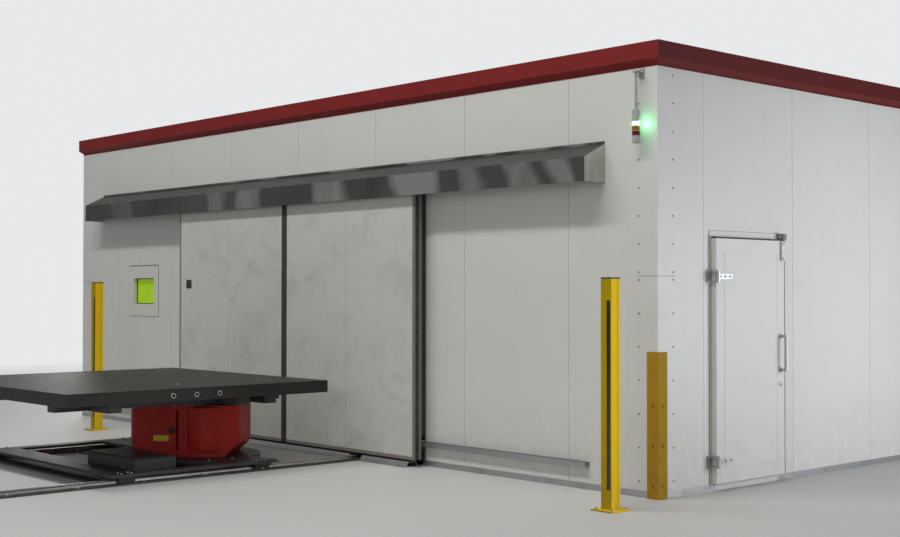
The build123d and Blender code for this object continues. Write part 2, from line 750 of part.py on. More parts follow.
def build_service_door():
    low, high, leaf_low, leaf_high = service_edges()
    face = HALF_LENGTH
    top = SERVICE_OPENING_TOP
    plate_low = low - SERVICE_FRAME_WIDTH
    plate_high = high + SERVICE_FRAME_WIDTH
    plate_top = top + SERVICE_HEADER
    frame = box((face, plate_low, SILL_HEIGHT + 2), (face + SERVICE_FRAME_PLATE, plate_high, plate_top))
    frame -= box((face - 1, low, 0), (face + SERVICE_FRAME_PLATE + 1, high, top))
    liner = box((face - WALL_THICKNESS, low, 0), (face + SERVICE_FRAME_PLATE, high, top))
    liner -= box(
        (face - WALL_THICKNESS - 1, low + SERVICE_LINER, -1),
        (face + SERVICE_FRAME_PLATE + 1, high - SERVICE_LINER, top - SERVICE_LINER),
    )
    sill = box(
        (face - WALL_THICKNESS, low + SERVICE_LINER, 0),
        (face + SERVICE_FRAME_PLATE, high - SERVICE_LINER, SILL_HEIGHT),
    )
    sill -= box(
        (face - WALL_THICKNESS + SERVICE_LINER, low, -1),
        (face + SERVICE_FRAME_PLATE - SERVICE_LINER, high, SILL_HEIGHT - SERVICE_LINER),
    )
    save(frame + liner + sill, "service_door_frame")

    leaf_back = face + SERVICE_FRAME_PLATE + SERVICE_LEAF_GAP
    leaf_face = leaf_back + SERVICE_LEAF_THICKNESS
    leaf_top = top + SERVICE_OVERLAP
    leaf = box((leaf_back, leaf_low, SERVICE_LEAF_BOTTOM), (leaf_face, leaf_high, leaf_top))
    leaf = chamfer(leaf.edges().filter_by(Axis.Z).group_by(Axis.X)[-1], 4)
    seam_low = (leaf_low + SERVICE_BORDER, SERVICE_LEAF_BOTTOM + SERVICE_BORDER)
    seam_high = (leaf_high - SERVICE_BORDER, leaf_top - SERVICE_BORDER)
    seam = box((leaf_face - SERVICE_SEAM, *seam_low), (leaf_face + 1, *seam_high))
    seam -= box(
        (leaf_face - SERVICE_SEAM - 1, *(a + SERVICE_SEAM for a in seam_low)),
        (leaf_face + 2, *(a - SERVICE_SEAM for a in seam_high)),
    )
    save(leaf - seam, "service_door_leaf")

    axis_x, axis_y = hinge_axis()
    half = HINGE_KNUCKLE_HEIGHT / 2
    ear_start = half + HINGE_EAR_GAP
    ear_end = ear_start + HINGE_EAR_HEIGHT
    inner_x = face + SERVICE_FRAME_PLATE
    fixed = []
    straps = []
    for z in HINGE_HEIGHTS:
        bracket = rod("z", (axis_x, axis_y), HINGE_PIN_RADIUS, z - ear_end, z + ear_end)
        bracket += box(
            (inner_x, axis_y - HINGE_KNUCKLE_RADIUS - 30, z - ear_end),
            (inner_x + STRAP_THICKNESS, axis_y + HINGE_SETBACK - 2, z + ear_end),
        )
        for ear_low, ear_high in ((z - ear_end, z - ear_start), (z + ear_start, z + ear_end)):
            bracket += rod("z", (axis_x, axis_y), HINGE_KNUCKLE_RADIUS, ear_low, ear_high)
            bracket += box(
                (inner_x, axis_y - HINGE_KNUCKLE_RADIUS, ear_low),
                (axis_x, axis_y + HINGE_SETBACK - 2, ear_high),
            )
        fixed.append(bracket)
        knuckle = rod("z", (axis_x, axis_y), HINGE_KNUCKLE_RADIUS, z - half, z + half)
        knuckle += box((leaf_face, axis_y + 6, z - half), (axis_x + 4, axis_y + 26, z + half))
        strap = box(
            (leaf_face, axis_y + 20, z - STRAP_HEIGHT / 2),
            (leaf_face + STRAP_THICKNESS, axis_y + STRAP_LENGTH, z + STRAP_HEIGHT / 2),
        )
        oval = rod("x", (axis_y + STRAP_LENGTH, z), STRAP_HEIGHT / 2, leaf_face, leaf_face + STRAP_THICKNESS)
        bore = rod("z", (axis_x, axis_y), HINGE_PIN_RADIUS + HINGE_BORE_PLAY, z - half - 1, z + half + 1)
        straps.append(knuckle + strap + oval - bore)
    save(fixed, "service_door_hinges")

    handle_y = leaf_high - HANDLE_FROM_EDGE
    handle_x = leaf_face + HANDLE_STANDOFF
    low_z = HANDLE_HEIGHT - HANDLE_LENGTH / 2
    high_z = HANDLE_HEIGHT + HANDLE_LENGTH / 2
    handle = rod("z", (handle_x, handle_y), HANDLE_RADIUS, low_z, high_z)
    for z in (low_z + HANDLE_RADIUS, high_z - HANDLE_RADIUS):
        handle += rod("x", (handle_y, z), HANDLE_RADIUS, leaf_face, handle_x)
    lock_high = leaf_high + INTERLOCK_PAST_EDGE
    lock_low = lock_high - INTERLOCK_WIDTH
    lock_bottom = leaf_top + INTERLOCK_GAP
    lock = box(
        (inner_x, lock_low, lock_bottom),
        (inner_x + INTERLOCK_DEPTH, lock_high, lock_bottom + INTERLOCK_HEIGHT),
    )
    save(fillet(lock.edges().filter_by(Axis.Z).group_by(Axis.X)[-1], 6), "door_interlock")
    actuator_high = leaf_high - ACTUATOR_FROM_EDGE
    actuator_top = leaf_top - INTERLOCK_GAP
    actuator = box(
        (leaf_face, actuator_high - ACTUATOR_WIDTH, actuator_top - ACTUATOR_HEIGHT),
        (leaf_face + ACTUATOR_DEPTH, actuator_high, actuator_top),
    )
    actuator = chamfer(actuator.edges().group_by(Axis.X)[-1], 3)
    save(straps + [handle, actuator], "service_door_hardware")


def build_beacon():
    """Hanging signal light: wall bracket and pole, housing, three lenses and a cap."""
    y = -BEACON_REACH
    x = BEACON_X
    face = -CORNER_SHEET
    half_width = BEACON_PLATE_WIDTH / 2
    half_height = BEACON_PLATE_HEIGHT / 2
    plate = box(
        (x - half_width, face - 8, BEACON_BRACKET_HEIGHT - half_height),
        (x + half_width, face, BEACON_BRACKET_HEIGHT + half_height),
    )
    arm = box((x - 20, y - 20, BEACON_BRACKET_HEIGHT), (x + 20, face - 8, BEACON_BRACKET_HEIGHT + 10))
    pole = rod("z", (x, y), BEACON_POLE_RADIUS, BEACON_TOP, BEACON_BRACKET_HEIGHT)
    save(plate + arm + pole, "beacon_bracket")
    bottom = BEACON_TOP - BEACON_HOUSING
    housing = rod("z", (x, y), BEACON_RADIUS, bottom, BEACON_TOP)
    housing = chamfer(housing.edges().group_by(Axis.Z)[-1], 8)
    for name in ("green", "amber", "red"):
        lens = rod("z", (x, y), BEACON_RADIUS, bottom - BEACON_LENS, bottom)
        save(lens, f"beacon_lens_{name}")
        bottom -= BEACON_LENS
    cap = rod("z", (x, y), BEACON_RADIUS, bottom - BEACON_CAP, bottom)
    save([housing, chamfer(cap.edges().group_by(Axis.Z)[0], 6)], "beacon_housing")


def build_curtains():
    """Two slotted square columns on foot plates, each with its optic strip."""
    half = CURTAIN_SIDE / 2
    inner = half - CURTAIN_WALL
    foot_half = CURTAIN_FOOT / 2
    anchor = CURTAIN_ANCHOR_SPACING / 2
    columns = []
    optics = []
    for x, y in CURTAIN_PLACES:
        column = box((x - half, y - half, CURTAIN_FOOT_PLATE), (x + half, y + half, CURTAIN_HEIGHT))
        slot_x = x + CURTAIN_SLOT_OFFSET
        column -= box(
            (x - inner, y - inner, CURTAIN_FOOT_PLATE),
            (x + inner, y + inner, CURTAIN_HEIGHT - CURTAIN_WALL),
        )
        column -= box(
            (slot_x - CURTAIN_SLOT / 2, y - half - 1, CURTAIN_SLOT_BOTTOM),
            (slot_x + CURTAIN_SLOT / 2, y, CURTAIN_SLOT_TOP),
        )
        groove_low = y + CURTAIN_GROOVE_OFFSET - CURTAIN_GROOVE / 2
        for side in (-half, half - CURTAIN_GROOVE_DEPTH):
            column -= box(
                (x + side, groove_low, CURTAIN_FOOT_PLATE),
                (x + side + CURTAIN_GROOVE_DEPTH, groove_low + CURTAIN_GROOVE, CURTAIN_HEIGHT),
            )
        foot = box((x - foot_half, y - foot_half, 0), (x + foot_half, y + foot_half, CURTAIN_FOOT_PLATE))
        for sx in (-1, 1):
            for sy in (-1, 1):
                corner = (x + sx * anchor, y + sy * anchor)
                foot -= rod("z", corner, CURTAIN_ANCHOR_RADIUS, -1, CURTAIN_FOOT_PLATE + 1)
        columns.append(column + foot)
        optics.append(
            box(
                (slot_x - CURTAIN_SLOT / 2 + 0.5, y - half + 3, CURTAIN_SLOT_BOTTOM + 0.5),
                (slot_x + CURTAIN_SLOT / 2 - 0.5, y + inner, CURTAIN_SLOT_TOP - 0.5),
            )
        )
    save(columns, "curtain_columns")
    save(optics, "curtain_optics")


def tie_places():
    """Y of the cross ties, evenly spaced outside the cell and inside it."""
    outside = (TRACK_START + TIE_FROM_END, THRESHOLD_FRONT - TIE_FROM_THRESHOLD)
    inside = (THRESHOLD_BACK + TIE_FROM_THRESHOLD, TRACK_END - TIE_FROM_END)
    places = []
    for low, high in (outside, inside):
        pitch = (high - low) / (TIES_PER_SIDE - 1)
        places += [low + i * pitch for i in range(TIES_PER_SIDE)]
    return places


def build_shuttle_track():
    """Floor plates with cross ties between them, profile rails, end stops, threshold and sill."""
    half_gauge = TRACK_GAUGE / 2
    half_plate = TRACK_PLATE_WIDTH / 2
    bed = [
        box((x - half_plate, TRACK_START, 0), (x + half_plate, TRACK_END, TRACK_PLATE))
        for x in (-half_gauge, half_gauge)
    ]
    tie_reach = half_gauge - half_plate
    bed += [
        box((-tie_reach, y - TIE_WIDTH / 2, 0), (tie_reach, y + TIE_WIDTH / 2, TRACK_PLATE))
        for y in tie_places()
    ]
    save(bed, "shuttle_track_bed")

    def rail(x):
        z = TRACK_PLATE
        head = RAIL_HEIGHT * 0.45
        outline = [
            (x - RAIL_WIDTH / 2, z),
            (x + RAIL_WIDTH / 2, z),
            (x + RAIL_WAIST / 2, z + RAIL_HEIGHT - head),
            (x + RAIL_WIDTH / 2, z + RAIL_HEIGHT - head / 2),
            (x + RAIL_WIDTH / 2 - 3, z + RAIL_HEIGHT),
            (x - RAIL_WIDTH / 2 + 3, z + RAIL_HEIGHT),
            (x - RAIL_WIDTH / 2, z + RAIL_HEIGHT - head / 2),
            (x - RAIL_WAIST / 2, z + RAIL_HEIGHT - head),
        ]
        return prism("y", outline, TRACK_START + STOP_LENGTH, TRACK_END - STOP_LENGTH)

    save([rail(-half_gauge), rail(half_gauge)], "shuttle_rails")
    stops = []
    for x in (-half_gauge, half_gauge):
        for y in (TRACK_START, TRACK_END - STOP_LENGTH):
            stops.append(box((x - 30, y, TRACK_PLATE), (x + 30, y + STOP_LENGTH, STOP_HEIGHT)))
    save(stops, "shuttle_end_stops")

    inner = half_gauge - half_plate
    outer = half_gauge + half_plate
    spans = ((-HALF_DOORWAY, -outer), (-inner, inner), (outer, HALF_DOORWAY))
    plates = [
        box((a, THRESHOLD_FRONT, 0), (b, THRESHOLD_BACK, THRESHOLD_PLATE))
        for a, b in spans
    ]
    slot = DOOR_SILL_SLOT / 2
    path = [
        (DOOR_SILL_FRONT, THRESHOLD_PLATE),
        (DOOR_SILL_FRONT + 25, DOOR_SILL_TOP),
        (DOOR_SILL_BACK - 25, DOOR_SILL_TOP),
        (DOOR_SILL_BACK, THRESHOLD_PLATE),
    ]
    outline = folded(path, -DOOR_SILL_WALL)
    sills = [prism("x", outline, a, b) for a, b in spans]
    save([plate + sill for plate, sill in zip(plates, sills)], "threshold_sill")


def build_leaf_panels():
    """The two panels, frame and rubber nose of the right leaf; the left one is its mirror image."""
    start = NOSE_WIDTH
    end = LEAF_WIDTH - LEAF_FRAME
    middle = (start + end) / 2
    low = LEAF_BOTTOM + LEAF_FRAME
    high = LEAF_TOP - LEAF_FRAME
    panels = []
    for i, (a, b) in enumerate(((start, middle), (middle, end))):
        outline = panel_outline(a, b, LEAF_FRONT, LEAF_THICKNESS, i == 0, i == 1)
        panels.append(prism("z", outline, low, high))
    wall = LEAF_FRAME_WALL
    rail_low = box((start, LEAF_FRONT, LEAF_BOTTOM), (end, LEAF_BACK, low))
    rail_low -= box((start - 1, LEAF_FRONT + wall, LEAF_BOTTOM - 1), (end + 1, LEAF_BACK - wall, low - wall))
    rail_high = box((start, LEAF_FRONT, high), (end, LEAF_BACK, LEAF_TOP))
    rail_high -= box(
        (start - 1, LEAF_FRONT + wall, high + wall),
        (end + 1, LEAF_BACK - wall, LEAF_TOP - wall),
    )
    stile = box((end, LEAF_FRONT, LEAF_BOTTOM), (LEAF_WIDTH, LEAF_BACK, LEAF_TOP))
    stile -= box(
        (end + wall, LEAF_FRONT + wall, LEAF_BOTTOM - 1),
        (LEAF_WIDTH - wall, LEAF_BACK - wall, LEAF_TOP + 1),
    )
    frame = [rail_low, rail_high, stile]
    nose_outline = [
        (start, LEAF_FRONT),
        (start, LEAF_BACK),
        (NOSE_GAP + 12, LEAF_BACK),
        (NOSE_GAP, LEAF_BACK - 12),
        (NOSE_GAP, LEAF_FRONT + 12),
        (NOSE_GAP + 12, LEAF_FRONT),
    ]
    nose = prism("z", nose_outline, LEAF_BOTTOM, LEAF_TOP)
    brush_middle = (LEAF_FRONT + LEAF_BACK) / 2
    brush = box(
        (start + 5, brush_middle - BRUSH_THICKNESS / 2, LEAF_BOTTOM - BRUSH_HEIGHT),
        (end, brush_middle + BRUSH_THICKNESS / 2, low - wall),
    )
    for suffix, side in (("right", lambda s: s), ("left", mirrored)):
        save([side(panel) for panel in panels], f"door_panels_{suffix}")
        save([side(piece) for piece in frame], f"door_frame_{suffix}")
        save([side(nose), side(brush)], f"door_seals_{suffix}")


def hanger_places():
    """X of the right leaf's two hanger axles, the first nearer the doorway's centre."""
    return HANGER_STEP_FROM_END, LEAF_WIDTH - HANGER_STEP_FROM_END


def build_hangers():
    """Hanger plates with fixed axles, the guide arm and pin, and the grooved wheels."""
    wheel_back = TRACK_Y + WHEEL_WIDTH / 2
    wheel_front = TRACK_Y - WHEEL_WIDTH / 2
    strap_back = wheel_front - AXLE_COLLAR_GAP - 5
    strap_front = strap_back - HANGER_PLATE
    collar_back = wheel_back + AXLE_COLLAR_GAP + 4
    hangers = []
    for x in hanger_places():
        strap_outline = [
            (x - HANGER_WIDTH / 2, LEAF_TOP),
            (x + HANGER_WIDTH / 2, LEAF_TOP),
            (x + 24, AXLE_HEIGHT + 20),
            (x - 24, AXLE_HEIGHT + 20),
        ]
        hanger = prism("y", strap_outline, strap_front, strap_back)
        hanger += box(
            (x - HANGER_WIDTH / 2, strap_front, LEAF_TOP),
            (x + HANGER_WIDTH / 2, wheel_back + 10, LEAF_TOP + HANGER_FOOT),
        )
        hanger += rod("y", (x, AXLE_HEIGHT), AXLE_RADIUS, strap_front, collar_back)
        hanger += rod("y", (x, AXLE_HEIGHT), AXLE_COLLAR_RADIUS, strap_back, wheel_front - AXLE_COLLAR_GAP)
        hanger += rod("y", (x, AXLE_HEIGHT), AXLE_COLLAR_RADIUS, wheel_back + AXLE_COLLAR_GAP, collar_back)
        hangers.append(hanger)
    rail_middle = -TRIM_THICKNESS - GUIDE_RAIL_WALL - GUIDE_RAIL_DEPTH / 2
    pin_x = HALF_DOORWAY + TRIM_WIDTH / 2
    arm_low = GUIDE_RAIL_TOP + GUIDE_ARM_GAP
    guide = box(
        (pin_x - 25, LEAF_BACK, arm_low),
        (pin_x + 25, rail_middle + GUIDE_PIN_RADIUS, arm_low + GUIDE_ARM),
    )
    pin_low = GUIDE_RAIL_TOP - GUIDE_RAIL_HEIGHT + 12
    guide += rod("z", (pin_x, rail_middle), GUIDE_PIN_RADIUS, pin_low, arm_low)
    hangers.append(guide)
    save(hangers, "door_hangers_right")
    save([mirrored(hanger) for hanger in hangers], "door_hangers_left")

    half = WHEEL_WIDTH / 2
    bore = AXLE_RADIUS + WHEEL_BORE_PLAY
    groove = TRACK_BAR_THICKNESS / 2 + TRACK_SIDE_PLAY
    profile = [
        (bore, -half),
        (WHEEL_RADIUS, -half),
        (WHEEL_RADIUS, -groove - 2),
        (WHEEL_ROOT_RADIUS, -groove),
        (WHEEL_ROOT_RADIUS, groove),
        (WHEEL_RADIUS, groove + 2),
        (WHEEL_RADIUS, half),
        (bore, half),
    ]
    section = Face(Wire.make_polygon([Vector(r, t, 0) for r, t in profile]))
    wheel = revolve(section, Axis.Y)
    for suffix, x in zip(("inner", "outer"), hanger_places()):
        placed = Pos(x, TRACK_Y, AXLE_HEIGHT) * wheel
        save(placed, f"door_wheel_right_{suffix}")
        save(mirrored(placed), f"door_wheel_left_{suffix}")


def build_shuttle():
    """Carriage on bearing blocks, red pedestal, black cover, table frame and welding table."""
    half_gauge = TRACK_GAUGE / 2
    half_block = BLOCK_LENGTH / 2
    y_mid = TABLE_CENTRE_Y
    carriage = None
    low_z = CARRIAGE_BOTTOM
    high_z = PEDESTAL_BOTTOM
    beam_half = CARRIAGE_BEAM / 2
    for x in (-half_gauge, half_gauge):
        beam = box(
            (x - beam_half / 2, y_mid - CARRIAGE_LENGTH_Y / 2, low_z),
            (x + beam_half / 2, y_mid + CARRIAGE_LENGTH_Y / 2, high_z),
        )
        carriage = beam if carriage is None else carriage + beam
        for y in (y_mid - BLOCK_SPREAD / 2, y_mid + BLOCK_SPREAD / 2):
            block = box(
                (x - BLOCK_WIDTH / 2, y - half_block, TRACK_PLATE + BLOCK_LIFT),
                (x + BLOCK_WIDTH / 2, y + half_block, low_z),
            )
            groove = RAIL_WIDTH / 2 + BLOCK_PLAY
            block -= box(
                (x - groove, y - half_block - 1, TRACK_PLATE),
                (x + groove, y + half_block + 1, RAIL_TOP + BLOCK_PLAY),
            )
            carriage += block
    for y in (y_mid - BLOCK_SPREAD / 2, PEDESTAL_Y, y_mid + BLOCK_SPREAD / 2):
        carriage += box((-half_gauge, y - beam_half, low_z), (half_gauge, y + beam_half, high_z))
    carriage += box(
        (COVER_CENTRE[0] - COVER_SIZE[0] / 2, COVER_CENTRE[1] - COVER_SIZE[1] / 2, low_z),
        (COVER_CENTRE[0] + COVER_SIZE[0] / 2, COVER_CENTRE[1] + COVER_SIZE[1] / 2, high_z),
    )
    carriage += rod("z", (PEDESTAL_X, PEDESTAL_Y), PEDESTAL_DISC_RADIUS, low_z, high_z)
    save(carriage, "shuttle_carriage")

    cover = box(
        (COVER_CENTRE[0] - COVER_SIZE[0] / 2, COVER_CENTRE[1] - COVER_SIZE[1] / 2, high_z),
        (COVER_CENTRE[0] + COVER_SIZE[0] / 2, COVER_CENTRE[1] + COVER_SIZE[1] / 2, high_z + COVER_SIZE[2]),
    )
    cover = chamfer(cover.edges().group_by(Axis.Z)[-1], 14)
    save(cover, "drive_cover")

    body_low = high_z
    body_high = FRAME_BOTTOM - PEDESTAL_FLANGE
    body = extrude(
        Pos(0, 0, body_low) * RectangleRounded(PEDESTAL_LENGTH, PEDESTAL_WIDTH, PEDESTAL_CORNER),
        amount=body_high - body_low,
    )
    half = PEDESTAL_LENGTH / 2
    for side in (-1, 1):
        wedge = prism(
            "y",
            [
                (side * half * 1.01, body_low - 1),
                (side * (half - PEDESTAL_CHAMFER), body_low - 1),
                (side * half * 1.01, body_low + PEDESTAL_CHAMFER),
            ],
            -PEDESTAL_WIDTH,
            PEDESTAL_WIDTH,
        )
        body -= wedge
    slot_low = body_low + 60
    slot_x = -60.0
    body -= box((slot_x, -PEDESTAL_WIDTH, slot_low), (slot_x + 26, -PEDESTAL_WIDTH / 2 + 40, body_high - 40))
    drum = rod(
        "z",
        (PEDESTAL_DRUM_RADIUS - 20, -PEDESTAL_WIDTH / 2 + PEDESTAL_DRUM_RADIUS - 60),
        PEDESTAL_DRUM_RADIUS,
        slot_low,
        body_high - 20,
    )
    body += drum
    flange = rod("z", (0, 0), PEDESTAL_FLANGE_RADIUS, body_high, FRAME_BOTTOM)
    placing = Pos(PEDESTAL_X, PEDESTAL_Y, 0) * Rot(0, 0, PEDESTAL_TURN)
    save(placing * body, "pedestal_body")
    save(placing * flange, "pedestal_flange")

    frame = None
    reach_x = TABLE_LENGTH_X / 2 - 160
    reach_y = TABLE_LENGTH_Y / 2 - 160
    w = FRAME_BEAM_WIDTH / 2
    for x in (-FRAME_SPREAD / 2, FRAME_SPREAD / 2):
        beam = box((x - w, y_mid - reach_y, FRAME_BOTTOM), (x + w, y_mid + reach_y, FRAME_TOP))
        frame = beam if frame is None else frame + beam
    for y in (y_mid - FRAME_SPREAD / 2, PEDESTAL_Y, y_mid + FRAME_SPREAD / 2):
        frame += box((-reach_x, y - w, FRAME_BOTTOM), (reach_x, y + w, FRAME_TOP))
    frame += box(
        (PEDESTAL_X - PEDESTAL_FLANGE_RADIUS, PEDESTAL_Y - PEDESTAL_FLANGE_RADIUS, FRAME_BOTTOM),
        (PEDESTAL_X + PEDESTAL_FLANGE_RADIUS, PEDESTAL_Y + PEDESTAL_FLANGE_RADIUS, FRAME_BOTTOM + 20),
    )
    save(frame, "table_frame")

    half_x = TABLE_LENGTH_X / 2
    half_y = TABLE_LENGTH_Y / 2
    table = box((-half_x, y_mid - half_y, FRAME_TOP), (half_x, y_mid + half_y, TABLE_TOP))
    under = TABLE_TOP - TABLE_PLATE
    skirt = TABLE_SKIRT_WALL
    ribs = TABLE_RIBS
    cell_x = (TABLE_LENGTH_X - 2 * skirt) / (ribs + 1)
    cell_y = (TABLE_LENGTH_Y - 2 * skirt) / (ribs + 1)
    cells_x = [-half_x + skirt + i * cell_x for i in range(ribs + 2)]
    cells_y = [y_mid - half_y + skirt + i * cell_y for i in range(ribs + 2)]
    rib = TABLE_RIB_WALL / 2
    for i in range(ribs + 1):
        for j in range(ribs + 1):
            x0 = cells_x[i] + (rib if i else 0)
            x1 = cells_x[i + 1] - (rib if i < ribs else 0)
            y0 = cells_y[j] + (rib if j else 0)
            y1 = cells_y[j + 1] - (rib if j < ribs else 0)
            table -= box((x0, y0, FRAME_TOP - 1), (x1, y1, under))
            bore = ((cells_x[i] + cells_x[i + 1]) / 2, (cells_y[j] + cells_y[j + 1]) / 2)
            table -= rod("z", bore, TABLE_BORE_RADIUS, under - 1, TABLE_TOP + 1)
    hole_z = FRAME_TOP + TABLE_SKIRT * 0.45
    for i in range(TABLE_SIDE_HOLES):
        offset = TABLE_SIDE_OFFSET + (i - (TABLE_SIDE_HOLES - 1) / 2) * TABLE_SIDE_PITCH
        for x in (-half_x, half_x):
            table -= rod("x", (y_mid + offset, hole_z), TABLE_SIDE_HOLE_RADIUS, x - skirt - 1, x + skirt + 1)
        for y in (y_mid - half_y, y_mid + half_y):
            table -= rod("y", (offset, hole_z), TABLE_SIDE_HOLE_RADIUS, y - skirt - 1, y + skirt + 1)
    save(table, "welding_table")


def rounded_link(lower, lower_radius, upper, upper_radius):
    """Outline face in Y and Z of an arm that tapers between two round ends."""
    (ya, za), (yb, zb) = lower, upper
    length = math.dist(lower, upper)
    lean = math.asin((lower_radius - upper_radius) / length)
    heading = math.atan2(zb - za, yb - ya)
    left = heading + math.pi / 2 - lean
    right = heading - math.pi / 2 + lean

    def at(centre, radius, angle):
        return Vector(0, centre[0] + radius * math.cos(angle), centre[1] + radius * math.sin(angle))

    edges = [
        Line(at(lower, lower_radius, right), at(upper, upper_radius, right)),
        ThreePointArc(
            at(upper, upper_radius, right),
            at(upper, upper_radius, heading),
            at(upper, upper_radius, left),
        ),
        Line(at(upper, upper_radius, left), at(lower, lower_radius, left)),
        ThreePointArc(
            at(lower, lower_radius, left),
            at(lower, lower_radius, heading + math.pi),
            at(lower, lower_radius, right),
        ),
    ]
    return make_face(edges)


def build_robot():
    """Six-axis arm on a floor riser, with the laser welding head on its flange."""
    x0, y0 = ROBOT_X, ROBOT_Y
    foot = RISER_FOOT / 2
    anchor = RISER_ANCHOR_SPACING / 2
    riser = box((x0 - foot, y0 - foot, 0), (x0 + foot, y0 + foot, RISER_PLATE))
    riser += rod("z", (x0, y0), RISER_RADIUS, RISER_PLATE, RISER_HEIGHT - RISER_PLATE)
    top = BASE_FOOT / 2 + 20
    riser += box((x0 - top, y0 - top, RISER_HEIGHT - RISER_PLATE), (x0 + top, y0 + top, RISER_HEIGHT))
    for sx in (-1, 1):
        for sy in (-1, 1):
            riser -= rod("z", (x0 + sx * anchor, y0 + sy * anchor), RISER_ANCHOR_RADIUS, -1, RISER_PLATE + 1)
    rib = 8.0
    for turn in (45, 135):
        plate = prism(
            "y",
            [
                (-foot, RISER_PLATE),
                (foot, RISER_PLATE),
                (RISER_RADIUS + 10, RISER_HEIGHT - RISER_PLATE),
                (-RISER_RADIUS - 10, RISER_HEIGHT - RISER_PLATE),
            ],
            -rib,
            rib,
        )
        riser += Pos(x0, y0, 0) * Rot(0, 0, turn) * plate
    save(riser, "robot_riser")

    z0 = ROBOT_BASE_Z
    base = extrude(Pos(x0, y0, z0) * RectangleRounded(BASE_FOOT, BASE_FOOT, 50), amount=BASE_FOOT_PLATE)
    neck = extrude(
        Pos(x0, y0, z0 + BASE_FOOT_PLATE) * Circle(BASE_RADIUS + 20),
        amount=BASE_HEIGHT - BASE_FOOT_PLATE,
        taper=6,
    )
    plug = box(
        (x0 - 90, y0 + 60, z0 + BASE_FOOT_PLATE),
        (x0 + 90, y0 + BASE_FOOT / 2 + 10, z0 + BASE_HEIGHT - 40),
    )
    save(base + neck + plug, "robot_base")

    turret_low = TURRET_Z + TURRET_GAP
    disc = rod("z", (x0, y0), TURRET_RADIUS, turret_low, turret_low + TURRET_DISC)
    disc = chamfer(disc.edges().group_by(Axis.Z)[-1], 14)
    left = x0 - ELBOW_WIDTH + ELBOW_SIDE
    right = x0 + ELBOW_SIDE
    body_low = turret_low + TURRET_DISC
    cheek = prism(
        "x",
        [
            (y0 + 150, body_low),
            (y0 + 130, SHOULDER_Z - 40),
            (SHOULDER_Y + 90, SHOULDER_Z + 86),
            (SHOULDER_Y - 90, SHOULDER_Z + 86),
            (SHOULDER_Y - SHOULDER_RADIUS + 6, SHOULDER_Z - 30),
            (y0 - 150, body_low),
        ],
        left,
        right,
    )
    hub = rod("x", (SHOULDER_Y, SHOULDER_Z), SHOULDER_RADIUS, left, right)
    motor = rod("x", (SHOULDER_Y, SHOULDER_Z), 74, left - 120, left)
    save(disc + cheek + hub + motor, "robot_turret")

    arm_low = right + JOINT_GAP
    arm = extrude(
        Pos(arm_low, 0, 0)
        * rounded_link((SHOULDER_Y, SHOULDER_Z), ARM_LOWER_RADIUS, (SHOULDER_Y, ELBOW_Z), ARM_UPPER_RADIUS),
        amount=ARM_THICKNESS,
        dir=Vector(1, 0, 0),
    )
    recess = extrude(
        Pos(arm_low + ARM_THICKNESS - 22, 0, 0)
        * rounded_link((SHOULDER_Y, SHOULDER_Z + 190), 62, (SHOULDER_Y, ELBOW_Z - 170), 52),
        amount=40,
        dir=Vector(1, 0, 0),
    )
    arm -= recess
    for z, radius in ((SHOULDER_Z, 84), (ELBOW_Z, 64)):
        arm += rod("x", (SHOULDER_Y, z), radius, arm_low + ARM_THICKNESS, arm_low + ARM_THICKNESS + 18)
    save(arm, "robot_lower_arm")

    elbow = rod("x", (SHOULDER_Y, ELBOW_Z), ELBOW_RADIUS, left, right)
    front_y = SHOULDER_Y - ELBOW_FRONT
    back_y = SHOULDER_Y + ELBOW_BACK
    housing = prism(
        "x",
        [
            (front_y, FOREARM_Z - 60),
            (SHOULDER_Y - 88, ELBOW_Z + 10),
            (SHOULDER_Y + 88, ELBOW_Z + 10),
            (back_y - 40, FOREARM_Z - 84),
            (back_y, FOREARM_Z - 60),
            (back_y, FOREARM_Z + 70),
            (back_y - 30, FOREARM_Z + 92),
            (front_y + 20, FOREARM_Z + 92),
            (front_y, FOREARM_Z + 76),
        ],
        left + 10,
        right,
    )
    collar = rod("y", (x0, FOREARM_Z), FOREARM_ROOT_RADIUS + 6, front_y, front_y + 60)
    wrist_motor = rod("y", (x0 - 20, FOREARM_Z), 48, back_y, back_y + 110)
    save(elbow + housing + collar + wrist_motor, "robot_elbow")

    tube_back = front_y - JOINT_GAP
    fork_y = WRIST_Y + WRIST_RADIUS + 28
    tube_profile = [
        (0, tube_back),
        (FOREARM_ROOT_RADIUS, tube_back),
        (FOREARM_ROOT_RADIUS, tube_back - 70),
        (FOREARM_TIP_RADIUS, tube_back - 190),
        (FOREARM_TIP_RADIUS, fork_y),
        (0, fork_y),
    ]
    section = Face(Wire.make_polygon([Vector(x0 + r, y, FOREARM_Z) for r, y in tube_profile]))
    forearm = revolve(section, Axis((x0, 0, FOREARM_Z), (0, 1, 0)))
    half_wrist = WRIST_WIDTH / 2 + JOINT_GAP
    for side in (-1, 1):
        inner = x0 + side * half_wrist
        outer = inner + side * WRIST_CHEEK
        low_x, high_x = min(inner, outer), max(inner, outer)
        cheek_plate = box(
            (low_x, WRIST_Y, FOREARM_Z - WRIST_RADIUS),
            (high_x, fork_y + 30, FOREARM_Z + WRIST_RADIUS),
        )
        cheek_plate += rod("x", (WRIST_Y, FOREARM_Z), WRIST_RADIUS, low_x, high_x)
        forearm += cheek_plate
    axle_play = 0.05
    forearm += rod("x", (WRIST_Y, FOREARM_Z), WRIST_AXLE_RADIUS, x0 - half_wrist - 1, x0 + half_wrist + 1)
    save(forearm, "robot_forearm")

